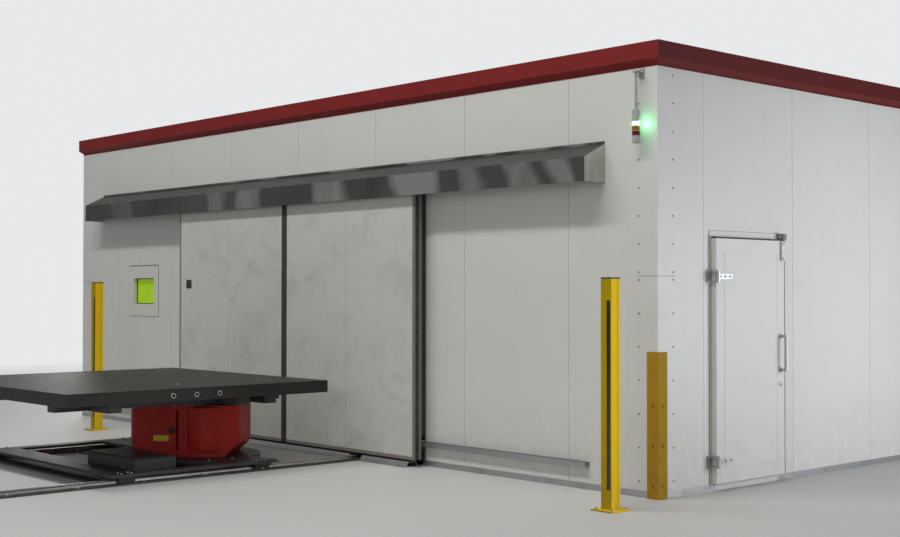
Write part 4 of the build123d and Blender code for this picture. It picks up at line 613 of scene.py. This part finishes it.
def dress_leaf(side, sx):
    """Fittings of one sliding leaf: hanger bolts, frame screws, nose beads, edge seal and bottom brush."""
    body = f"door_{side}"
    low, high = node_box(f"door_frame_{side}")
    inner, outer = sorted((abs(low.x), abs(high.x)))
    face, middle_y = low.y, (low.y + high.y) / 2
    gear = Shape()
    for tag in ("inner", "outer"):
        wheel_low, wheel_high = node_box(f"door_wheel_{side}_{tag}")
        x, _, z = middle(wheel_low, wheel_high)
        strap_front = wheel_low.y - 0.0134
        hex_screw(gear, (x, strap_front, z), FRONT, 0.012)
        for dx in (-0.030, 0.030):
            hex_screw(gear, (x + dx, wheel_high.y - 0.004, high.z + 0.010), UP, 0.008)
            hex_screw(gear, (x + dx, strap_front, high.z + 0.030), FRONT, 0.006)
    gear.make(f"hanger_bolts_{side}", "zinc_steel", body)

    screws = Shape()
    inset, radius = 0.015, 0.004
    for z in spaced(low.z + 0.055, high.z - 0.055, 0.46):
        pan_screw(screws, (sx * (outer - inset), face, z), FRONT, radius)
        pan_screw(screws, (sx * outer, middle_y, z), (sx, 0, 0), radius)
    for x in spaced(inner + 0.06, outer - 0.08, 0.45):
        for z in (low.z + inset, high.z - inset):
            pan_screw(screws, (sx * x, face, z), FRONT, radius)
    screws.make(f"leaf_frame_screws_{side}", "zinc_steel", body)

    nose = Shape()
    half_bead = 0.0022
    for x in (0.016, 0.040):
        near = (sx * (x - half_bead), face - 0.0014, low.z)
        strip(nose, near, (sx * (x + half_bead), face + 0.001, high.z))
    nose.make(f"nose_beads_{side}", "seal_rubber", body)
    edge = Shape()
    strip(edge, (sx * outer, face + 0.014, low.z), (sx * (outer + 0.0015), face + 0.052, high.z))
    edge.make(f"edge_seal_{side}", "seal_rubber", body)
    brush = Shape()
    half_tuft, half_row, length, root = 0.0035, 0.0068, 0.016, 0.02
    for x in spaced(inner + 0.010, outer - 0.036, 0.012):
        near = (sx * (x - half_tuft), middle_y - half_row, low.z - length)
        strip(brush, near, (sx * (x + half_tuft), middle_y + half_row, low.z + root))
    brush.make(f"brush_tufts_{side}", "seal_rubber", body)


def dress_pull():
    """Black flush pull on the left leaf, near its outer edge."""
    face = node_box("door_panels_left")[0].y
    x, z = -1.778, 1.632
    half_x, half_z, rim = 0.050, 0.046, 0.010
    front, back, soften = face - 0.006, face - 0.001, 0.0015
    pull = Shape()
    pull.block((x - half_x, face - 0.0015, z - half_z), (x + half_x, face, z + half_z), 0.0005)
    for s in (-1, 1):
        edge_x, edge_z = x + s * (half_x - rim / 2), z + s * (half_z - rim / 2)
        pull.block((edge_x - rim / 2, front, z - half_z), (edge_x + rim / 2, back, z + half_z), soften)
        level = (x - half_x + rim, front, edge_z - rim / 2)
        pull.block(level, (x + half_x - rim, back, edge_z + rim / 2), soften)
    pull.make("leaf_pull", "optic_black", "door_left")
    screws = Shape()
    for dx, dz in four(half_x - rim / 2, half_z - rim / 2):
        pan_screw(screws, (x + dx, front, z + dz), FRONT, 0.0032)
    screws.make("leaf_pull_screws", "zinc_steel", "door_left")


# Window

def dress_window():
    """Gasket round the pane, screws of its frame, and sealant round the frame, whose wider top bead is
    also painted shade along the frame's top.
    """
    pane_low, pane_high = node_box("window_glass")
    back, width = pane_low.y, 0.009
    front = back - 0.008
    gasket = Shape()
    for z, s in ((pane_low.z, 1), (pane_high.z, -1)):
        strip(gasket, (pane_low.x, front, z), (pane_high.x, back, z + s * width))
    for x, s in ((pane_low.x, 1), (pane_high.x, -1)):
        strip(gasket, (x, front, pane_low.z + width), (x + s * width, back, pane_high.z - width))
    gasket.make("window_gasket", "seal_rubber", "cell")
    low, high = node_box("window_frame")
    screws = Shape()
    inset, radius = 0.02, 0.0045
    edges_x, edges_z = (low.x + inset, high.x - inset), (low.z + inset, high.z - inset)
    for x in spaced(*edges_x, 0.31):
        for z in edges_z:
            pan_screw(screws, (x, low.y, z), FRONT, radius)
    for z in spaced(*edges_z, 0.27)[1:-1]:
        for x in edges_x:
            pan_screw(screws, (x, low.y, z), FRONT, radius)
    screws.make("window_frame_screws", "wall_panel", "cell")
    sealant = Shape()
    # Painted shade: the top bead is wider and stands out further than the others, sealant and also a dark
    # line for the shade along the frame's top.
    rim, out, top_rim, top_out = 0.004, 0.004, 0.012, 0.006
    strip(sealant, (low.x - rim, 0.0, low.z), (high.x + rim, -out, low.z - rim))
    strip(sealant, (low.x - rim, 0.0, high.z), (high.x + rim, -top_out, high.z + top_rim))
    for x, s in ((low.x, -1), (high.x, 1)):
        strip(sealant, (x, 0.0, low.z), (x + s * rim, -out, high.z))
    sealant.make("window_frame_sealant_and_shade", "frame_grey", "cell")


# Service door

def dress_service_door():
    """Gasket and edge seals, sealant round the frame, and what is screwed to the leaf and the lock; the
    seal above the leaf is also painted shadow.
    """
    low, high = node_box("service_door_leaf")
    frame_low, frame_high = node_box("service_door_frame")
    gasket = Shape()
    inside, outside = frame_high.x, low.x
    width, margin = 0.012, 0.004
    bottom, top = low.z + margin, high.z - margin
    for y, s in ((low.y + margin, 1), (high.y - margin, -1)):
        strip(gasket, (inside, y, bottom), (outside, y + s * width, top), 0.0005)
    inner_low, inner_high = low.y + margin + width, high.y - margin - width
    strip(gasket, (inside, inner_low, top - width), (outside, inner_high, top), 0.0005)
    gasket.make("service_door_gasket", "seal_rubber", "service_door")

    # Black strips above and beside the leaf: seals, and the one above also a painted shadow for the line
    # the leaf's top edge casts on the frame.
    stops = Shape()
    gap, thick = 0.0035, 0.009
    depth, above, beside = high.x - 0.004, high.z + gap, high.y + gap
    strip(stops, (inside, low.y, above), (depth, beside + thick, above + thick), 0.001)
    strip(stops, (inside, beside, low.z), (depth, beside + thick, above - 0.0005), 0.001)
    stops.make("service_door_edge_seals_and_shade", "seal_rubber", "cell")

    bead = Shape()
    wall, front, rim = frame_low.x, frame_high.x - 0.001, 0.003
    strip(bead, (wall, frame_low.y - rim, frame_high.z), (front, frame_high.y + rim, frame_high.z + rim))
    for y, s in ((frame_low.y, -1), (frame_high.y, 1)):
        strip(bead, (wall, y, frame_low.z), (front, y + s * rim, frame_high.z))
    bead.make("service_door_frame_sealant", "frame_grey", "cell")

    face = high.x
    handle_y, handle_z, lock_drop = high.y - 0.060, 1.050, 0.25
    fittings = Shape()
    rose = [(0.026, 0), (0.026, 0.004), (0.022, 0.007), (0.012, 0.007)]
    for dz in (-0.138, 0.138):
        fittings.lathe(rose, 20, facing((face, handle_y, handle_z + dz), RIGHT))
    cylinder = [(0.020, 0), (0.020, 0.005), (0.014, 0.009), (0.009, 0.009), (0.008, 0.006), (0, 0.006)]
    fittings.lathe(cylinder, 20, facing((face, handle_y, handle_z - lock_drop), RIGHT))
    hinge_low, hinge_high = node_box("service_door_hinges")
    half_hinge, strap, radius = 0.0483, face + 0.008, 0.007
    for z in (hinge_low.z + half_hinge, hinge_high.z - half_hinge):
        for dy in (0.05, 0.11, 0.17):
            cap_screw(fittings, (strap, low.y + dy, z), RIGHT, radius)
    for dz in (0.028, 0.146):
        cap_screw(fittings, (face + 0.016, high.y - 0.037, high.z - dz), RIGHT, radius)
    fittings.make("service_door_fittings", "zinc_steel", "service_door")

    lock = Shape()
    lock_low, lock_high = node_box("door_interlock")
    for y in (lock_low.y + 0.010, lock_high.y - 0.010):
        cap_screw(lock, (lock_high.x, y, lock_high.z - 0.012), RIGHT, 0.004)
    gland = [(0.013, 0), (0.013, 0.012), (0.010, 0.016), (0.006, 0.016), (0.006, 0.012), (0, 0.012)]
    place = (frame_high.x + 0.030, lock_low.y, (lock_low.z + lock_high.z) / 2)
    lock.lathe(gland, 6, facing(place, FRONT))
    lock.make("interlock_screws", "zinc_steel", "cell")


# Signal light

def dress_beacon():
    """Rings between the lenses, the collar on top, sound slots below, and the bracket's bolts."""
    low, high = node_box("beacon_lens_green")
    x, y, _ = middle(low, high)
    radius = (high.x - low.x) / 2
    half_ring = 0.0018
    inner, outer = radius - 0.004, radius + 0.0008
    ring = [(inner, -half_ring), (outer, -half_ring), (outer, half_ring), (inner, half_ring)]
    rings = Shape()
    for i in range(4):
        rings.lathe(ring, 36, facing((x, y, high.z - i * (high.z - low.z))))
    collar = [(0.011, 0.016), (0.0165, 0.013), (0.0185, 0.003), (0.0185, -0.002)]
    rings.lathe(collar, 24, facing((x, y, node_box("beacon_housing")[1].z)))
    slots, slot_z = 12, node_box("beacon_lens_red")[0].z - 0.030
    for i in range(slots):
        turn = Matrix.Translation((x, y, slot_z)) @ Matrix.Rotation(2 * math.pi * i / slots, 4, "Z")
        rings.block((radius - 0.002, -0.0022, -0.012), (radius + 0.0006, 0.0022, 0.012), 0.0003, turn)
    rings.make("beacon_rings", "beacon_grey", "cell")
    plate_z = node_box("beacon_bracket")[1].z - 0.038
    bolts = Shape()
    for dx, dz in four(0.015, 0.026):
        cap_screw(bolts, (x + dx, -0.010, plate_z + dz), FRONT, 0.004)
    nut = [(0.016, 0), (0.016, 0.006), (0.011, 0.008), (0, 0.008)]
    bolts.lathe(nut, 6, facing((x, y, plate_z + 0.010)))
    bolts.make("beacon_bracket_bolts", "zinc_steel", "cell")


# Light-curtain columns

def dress_column(side, sx):
    """Cap, bolts and row of beams of one column."""
    low, high = node_box("curtain_columns")
    half_foot, half = 0.100, 0.048
    near = high if sx > 0 else low
    x, y = near.x - sx * half_foot, near.y - sx * half_foot
    front, top = y - half, high.z
    cap = Shape()
    rim = half * math.sqrt(2) + 0.0008
    profile = [(rim, -0.012), (rim, -0.001), (rim - 0.003, 0.0), (0, 0.0)]
    cap.lathe(profile, 4, facing((x, y, top)), math.pi / 4)
    cap.make(f"column_cap_{side}", "seal_rubber", "cell")
    bolts = Shape()
    for dx, dy in four(0.075, 0.075):
        hex_screw(bolts, (x + dx, y + dy, 0.012), UP, 0.012)
    for z in (0.10, top - 0.05):
        for dx in (-0.034, 0.034):
            cap_screw(bolts, (x + dx, front, z), FRONT, 0.004)
    bolts.make(f"column_bolts_{side}", "zinc_steel", "cell")
    optic_low, optic_high = node_box("curtain_optics")
    slot_x = x + 0.022
    cells = Shape()
    spot = [(0.007, 0.0), (0.006, 0.002), (0.003, 0.0028), (0, 0.0028)]
    for z in spaced(optic_low.z + 0.03, optic_high.z - 0.03, 0.030):
        cells.lathe(spot, 10, facing((slot_x, front + 0.003, z), FRONT))
    for s in (-1, 1):
        edge = (slot_x + s * 0.0170, front + 0.0005, optic_low.z)
        strip(cells, edge, (slot_x + s * 0.0135, front + 0.004, optic_high.z))
    cells.make(f"column_beams_{side}", "optic_black", "cell")


# Shuttle track

STOP_HALF_WIDTH = 0.030


def dress_track_bed():
    """Anchor bolts, plugs in the rails' screw holes, and the buffers of the end stops."""
    bed_low, bed_high = node_box("shuttle_track_bed")
    rail_low, rail_high = node_box("shuttle_rails")
    stop_low, stop_high = node_box("shuttle_end_stops")
    bolts, plugs, buffers = Shape(), Shape(), Shape()
    plug = [(0.0075, -0.002), (0.0075, -0.0004), (0.0066, 0.0), (0, 0.0)]
    buffer = [(0.022, -0.002), (0.024, 0.010), (0.022, 0.026), (0.014, 0.034), (0, 0.036)]
    stop_half_length, buffer_z = 0.060, stop_high.z - 0.023
    for x in (stop_low.x + STOP_HALF_WIDTH, stop_high.x - STOP_HALF_WIDTH):
        for y in spaced(bed_low.y + 0.15, bed_high.y - 0.15, 0.60):
            for dx in (-0.062, 0.062):
                hex_screw(bolts, (x + dx, y, bed_high.z), UP, 0.012)
        for y in spaced(rail_low.y + 0.03, rail_high.y - 0.03, 0.12):
            plugs.lathe(plug, 10, facing((x, y, rail_high.z + 0.0002)))
        for y, s in ((stop_low.y + stop_half_length, 1), (stop_high.y - stop_half_length, -1)):
            buffers.lathe(buffer, 20, facing((x, y, buffer_z), (0, s, 0)))
    bolts.make("track_bed_bolts", "zinc_steel", "cell")
    plugs.make("rail_screw_plugs", "dark_steel", "cell")
    buffers.make("end_stop_buffers", "seal_rubber", "cell")


# Shuttle carriage, pedestal and table

def dress_carriage():
    """Wipers at both ends of the bearing blocks, and the screws of the blocks and the drive cover."""
    table_low, table_high = node_box("welding_table")
    centre = (table_low.y + table_high.y) / 2
    rail_x = node_box("shuttle_end_stops")[1].x - STOP_HALF_WIDTH
    deck, half_base = 0.084, 0.650
    half_width, block_end, wiper_end = 0.043, 0.070, 0.078
    bottom, top = 0.0475, 0.059
    wipers, bolts = Shape(), Shape()
    for sx in (-1, 1):
        x = sx * rail_x
        for y in (centre - half_base, centre + half_base):
            for s in (-1, 1):
                near = (x - half_width, y + s * block_end, bottom)
                strip(wipers, near, (x + half_width, y + s * wiper_end, top), 0.001)
            for dx, dy in four(0.03, 0.045):
                cap_screw(bolts, (x + dx, y + dy, deck), UP, 0.009)
    wipers.make("carriage_wipers", "seal_rubber", "shuttle")
    low, high = node_box("drive_cover")
    inset = 0.03
    for x in spaced(low.x + inset, high.x - inset, 0.25):
        for y in (low.y + inset, high.y - inset):
            pan_screw(bolts, (x, y, high.z), UP, 0.006)
    bolts.make("carriage_screws", "zinc_steel", "shuttle")


def dress_pedestal():
    """Bolts, a blank plate, vents, knob and seams of the red housing."""
    flange_low, flange_high = node_box("pedestal_flange")
    x, y, _ = middle(flange_low, flange_high)
    low, high = node_box("pedestal_body")
    front, end = -0.280, -0.500
    spin = Matrix.Translation((x, y, 0)) @ Matrix.Rotation(math.radians(42), 4, "Z")
    bolts = Shape()
    bolt_circle(bolts, hex_screw, (x, y, low.z), UP, 0.585, 16, 0.012, 0.1)
    bolt_circle(bolts, cap_screw, (x, y, flange_low.z), DOWN, 0.305, 12, 0.008)
    bolts.make("pedestal_bolts", "zinc_steel", "shuttle")

    plate = Shape()
    plate.block((-0.265, front - 0.0025, 0.222), (-0.125, front, 0.274), 0.001, spin)
    plate.make("pedestal_blank_plate", "plate_yellow", "shuttle")

    vents = Shape()
    slats, lowest, pitch = 9, 0.250, 0.014
    for i in range(slats):
        slat = spin @ Matrix.Translation((end, -0.020, lowest + i * pitch))
        vents.block((-0.0022, -0.075, -0.0045), (0.001, 0.075, 0.0045), 0.0008, slat)
    vents.make("pedestal_vents", "seal_rubber", "shuttle")

    knob = Shape()
    profile = [(0.022, 0), (0.022, 0.010), (0.016, 0.014), (0.016, 0.024), (0.024, 0.028), (0.024, 0.046)]
    profile += [(0.020, 0.050), (0, 0.050)]
    knob.lathe(profile, 20, spin @ facing((-0.095, front, 0.320), FRONT))
    knob.make("pedestal_knob", "seal_rubber", "shuttle")

    seam = Shape()
    inset, half = 0.050, 0.0025
    for z in (high.z - inset, low.z + inset):
        near = (end + 0.115, front - 0.0012, z - half)
        seam.block(near, (-0.090, front + 0.0005, z + half), 0.0004, spin)
    seam.make("pedestal_seams", "pedestal_red", "shuttle")


def dress_table():
    """Hardened bushes in the bores of the table's top and along its skirt."""
    low, high = node_box("welding_table")
    wall, cells, pitch = 0.020, 3, 0.220
    bushes = Shape()
    cell_x = (high.x - low.x - 2 * wall) / cells
    cell_y = (high.y - low.y - 2 * wall) / cells
    rim = [(0.0215, 0.0), (0.0205, 0.0010), (0.0150, 0.0010), (0.0141, 0.0004), (0.0141, -0.006)]
    for i in range(cells):
        for j in range(cells):
            centre = (low.x + wall + (i + 0.5) * cell_x, low.y + wall + (j + 0.5) * cell_y, high.z)
            bushes.lathe(rim, 24, facing(centre))
    side_z = low.z + (high.z - low.z) * 0.45
    middle_y = (low.y + high.y) / 2
    offset = -0.090
    for k in (-1, 0, 1):
        for x, s in ((low.x, -1), (high.x, 1)):
            bushes.lathe(rim, 24, facing((x, middle_y + offset + k * pitch, side_z), (s, 0, 0)))
        for y, s in ((low.y, -1), (high.y, 1)):
            bushes.lathe(rim, 24, facing((offset + k * pitch, y, side_z), (0, s, 0)))
    bushes.make("table_bushes", "zinc_steel", "shuttle")


# Robot and welding head

def dress_robot():
    """Screwed covers and joint rings that such an arm has; it stands inside the closed cell."""
    base_low, base_high = node_box("robot_base")
    x, y = (base_low.x + base_high.x) / 2, 4.700
    shoulder_y, shoulder_z = y - 0.150, base_low.z + 0.525
    elbow_z = shoulder_z + 0.790
    forearm_z = elbow_z + 0.215
    turret_z = node_box("robot_turret")[0].z + 0.060
    radius = 0.005
    screws = Shape()
    bolt_circle(screws, cap_screw, (x, y, turret_z), UP, 0.165, 12, 0.006)
    screws.make("turret_screws", "zinc_steel", "robot_turret")
    arm_screws = Shape()
    arm_side = node_box("robot_lower_arm")[1].x
    for z, circle in ((shoulder_z, 0.070), (elbow_z, 0.052)):
        bolt_circle(arm_screws, cap_screw, (arm_side, shoulder_y, z), RIGHT, circle, 8, radius)
    arm_screws.make("arm_cover_screws", "zinc_steel", "robot_lower_arm")
    elbow_screws = Shape()
    elbow_low, elbow_high = node_box("robot_elbow")
    cover = (elbow_low.x + 0.010, shoulder_y + 0.03, forearm_z)
    bolt_circle(elbow_screws, cap_screw, cover, LEFT, 0.062, 8, radius)
    for dy in (-0.12, 0.17):
        for dz in (-0.045, 0.065):
            cap_screw(elbow_screws, (elbow_high.x, shoulder_y + dy, forearm_z + dz), RIGHT, radius)
    elbow_screws.make("elbow_cover_screws", "zinc_steel", "robot_elbow")
    rings = Shape()
    for ahead, r in ((0.262, 0.0868), (0.380, 0.0668)):
        profile = [(r - 0.002, -0.006), (r, -0.005), (r, 0.005), (r - 0.002, 0.006)]
        rings.lathe(profile, 40, facing((x, shoulder_y - ahead, forearm_z), REAR))
    rings.make("forearm_rings", "seal_rubber", "robot_forearm")
    foot_bolts = Shape()
    riser_z = node_box("robot_riser")[0].z
    for half, z, size in ((0.185, base_low.z + 0.030, 0.016), (0.260, riser_z + 0.025, 0.020)):
        for dx, dy in four(half, half):
            hex_screw(foot_bolts, (x + dx, y + dy, z), UP, size)
    foot_bolts.make("robot_foot_bolts", "zinc_steel", "cell")


def dress_head():
    """Cover screws, glass cartridge and fibre receptacle of the welding head."""
    nozzle_low, nozzle_high = node_box("laser_nozzle")
    x, y, _ = middle(nozzle_low, nozzle_high)
    bottom, half = nozzle_high.z, 0.048
    screws = Shape()
    for dz in (0.130, 0.270):
        for dy in (-0.036, 0.036):
            for s in (-1, 1):
                cap_screw(screws, (x + s * half, y + dy, bottom + dz), (s, 0, 0), 0.004)
    screws.make("head_cover_screws", "zinc_steel", "welding_head")
    cartridge = Shape()
    front, half_width = x + half + 0.005, 0.034
    near = (x + half - 0.001, y - half_width, bottom + 0.030)
    cartridge.block(near, (front, y + half_width, bottom + 0.062), 0.0015)
    grip = [(0.009, 0), (0.009, 0.008), (0.0075, 0.010), (0, 0.010)]
    cartridge.lathe(grip, 18, facing((front, y, bottom + 0.046), RIGHT))
    cartridge.make("head_glass_cartridge", "optic_black", "welding_head")
    receptacle = Shape()
    stand = facing((x, y - 0.093, bottom + 0.260))
    band = [(0.034, -0.030), (0.0355, -0.029), (0.0355, -0.016), (0.034, -0.015)]
    receptacle.lathe(band, 32, stand)
    socket = [(0.026, 0.0), (0.026, 0.012), (0.022, 0.016), (0.014, 0.016), (0.013, 0.006), (0, 0.006)]
    receptacle.lathe(socket, 28, stand)
    receptacle.make("head_fibre_receptacle", "nozzle_brass", "welding_head")


for dress in (dress_corners, dress_sills, dress_fascia, dress_guard, dress_hood, dress_track, dress_pull,
              dress_window, dress_service_door, dress_beacon, dress_track_bed, dress_carriage,
              dress_pedestal, dress_table, dress_robot, dress_head):
    dress()
for side, sign in SIDES:
    dress_leaf(side, sign)
    dress_column(side, sign)


# World, lights, floor and camera

scene = bpy.context.scene
scene.view_settings.view_transform = "Standard"
BACKDROP = (0.80, 0.81, 0.82, 1)
FILL_COLOUR = (0.93, 0.95, 1.0, 1)
FILL_STRENGTH = 0.24
FLOOR_HALF = 60
FLOOR_FADE = (8.0, 17.0)
# Name, place, target, size, power and colour
LAMPS = (
    ("overhead", (2.5, -7.0, 12.0), (2.0, -0.5, 0.5), (13.0, 0.8), 1050.0, (1.0, 0.99, 0.96)),
    ("side", (8.6, 3.3, 1.5), (4.6, 1.8, 1.4), (2.8, 2.2), 158.0, (0.94, 0.96, 1.0)),
    ("back", (0.0, 18.0, 5.0), (0.0, 6.0, 1.4), (10.0, 4.0), 600.0, (1.0, 1.0, 1.0)),
    ("left", (-14.0, 7.0, 5.0), (-4.6, 4.0, 1.4), (5.0, 4.0), 330.0, (1.0, 1.0, 1.0)),
    ("front", (7.0, -13.0, 4.0), (0.5, 0.0, 1.2), (8.0, 4.0), 220.0, (1.0, 0.99, 0.97)),
)
CAMERA_PLACE = (10.902, -7.881, 1.554)
CAMERA_YAW, CAMERA_PITCH, CAMERA_ROLL = 47.656, 0.979, 0.037
CAMERA_LENS = 53.48


def set_world():
    """Even light for the object and a pale backdrop for the camera."""
    scene.world = bpy.data.worlds.new("studio")
    w = Maker(scene.world)
    fill = w.feed(w.nodes["Background"], {"Color": FILL_COLOUR, "Strength": FILL_STRENGTH})
    seen = w.feed(w.new("Background"), {"Color": BACKDROP})
    path = w.new("LightPath").outputs
    direct = w.combine("MAXIMUM", path["Is Camera Ray"], path["Is Transmission Ray"])
    w.mix_shaders(direct, fill.outputs["Background"], seen.outputs["Background"], "World Output")


def add_lamp(kind, name, position, power, colour):
    data = bpy.data.lights.new(name, kind)
    data.energy = power
    data.color = colour
    lamp = bpy.data.objects.new(name, data)
    lamp.location = position
    scene.collection.objects.link(lamp)
    return lamp


def area_light(name, position, target, size, power, colour):
    lamp = add_lamp("AREA", name, position, power, colour)
    lamp.data.shape = "RECTANGLE"
    lamp.data.size, lamp.data.size_y = size
    direction = Vector(target) - Vector(position)
    lamp.rotation_euler = direction.to_track_quat("-Z", "Y").to_euler()
    return lamp


def set_beacon_spill():
    """Green light that the lit lens throws on the wall: a pale core close to it and a wide green glow."""
    low, high = node_box("beacon_lens_green")
    centre = (low + high) / 2
    pale, green = (0.55, 1.0, 0.72), (0.0, 1.0, 0.20)
    spots = (
        (high.x + 0.005, high.y + 0.004, 0.09, pale),
        (high.x + 0.004, centre.y + 0.004, 0.36, green),
        (low.x - 0.004, centre.y + 0.004, 0.05, green),
    )
    for i, (x, y, power, colour) in enumerate(spots):
        lamp = add_lamp("POINT", f"beacon_spill_{i}", (x, y, centre.z), power, colour)
        lamp.data.shadow_soft_size = 0.006


def set_floor():
    """Pale floor that fades into the backdrop far from the object."""
    m = Maker(bpy.data.materials.new("floor"))
    base = m.blend(m.noise(0.35, 4.0), (0.56, 0.56, 0.55), (0.63, 0.63, 0.62))
    m.feed(m.shader, {"Base Color": base, "Roughness": 0.6})
    distance = m.new("VectorMath")
    distance.operation = "LENGTH"
    m.feed(distance, {0: m.place()})
    camera_ray = m.new("LightPath").outputs["Is Camera Ray"]
    fade = m.times(m.ramp(distance.outputs["Value"], *FLOOR_FADE), camera_ray)
    far = m.feed(m.new("Emission"), {"Color": BACKDROP})
    m.mix_shaders(fade, m.shader.outputs["BSDF"], far.outputs["Emission"], "Material Output")
    mesh = bpy.data.meshes.new("floor")
    mesh.from_pydata([(x, y, 0) for x, y in four(FLOOR_HALF, FLOOR_HALF)], [], [(0, 2, 3, 1)])
    mesh.materials.append(m.owner)
    floor = bpy.data.objects.new("floor", mesh)
    scene.collection.objects.link(floor)
    return floor


def keep_off(lamp, obj):
    """The lamp lights everything but that object."""
    unlit = bpy.data.collections.new(f"{lamp.name}_unlit")
    unlit.objects.link(obj)
    unlit.collection_objects[0].light_linking.link_state = "EXCLUDE"
    lamp.light_linking.receiver_collection = unlit


def set_camera():
    """Eye height beside the cell's front right corner, as in the photograph."""
    data = bpy.data.cameras.new("camera")
    data.sensor_width = 36.0
    data.lens = CAMERA_LENS
    camera = bpy.data.objects.new("camera", data)
    yaw, pitch, roll = [math.radians(angle) for angle in (CAMERA_YAW, CAMERA_PITCH, CAMERA_ROLL)]
    look = Vector((-math.sin(yaw), math.cos(yaw), math.tan(pitch))).normalized()
    right = look.cross(Vector(UP)).normalized()
    up = right.cross(look)
    tilted_right = right * math.cos(roll) + up * math.sin(roll)
    tilted_up = tilted_right.cross(look)
    basis = Matrix((tilted_right, tilted_up, -look)).transposed().to_4x4()
    camera.matrix_world = Matrix.Translation(CAMERA_PLACE) @ basis
    scene.collection.objects.link(camera)
    scene.camera = camera


set_world()
lamps = {lamp[0]: area_light(*lamp) for lamp in LAMPS}
set_beacon_spill()
keep_off(lamps["side"], set_floor())
set_camera()
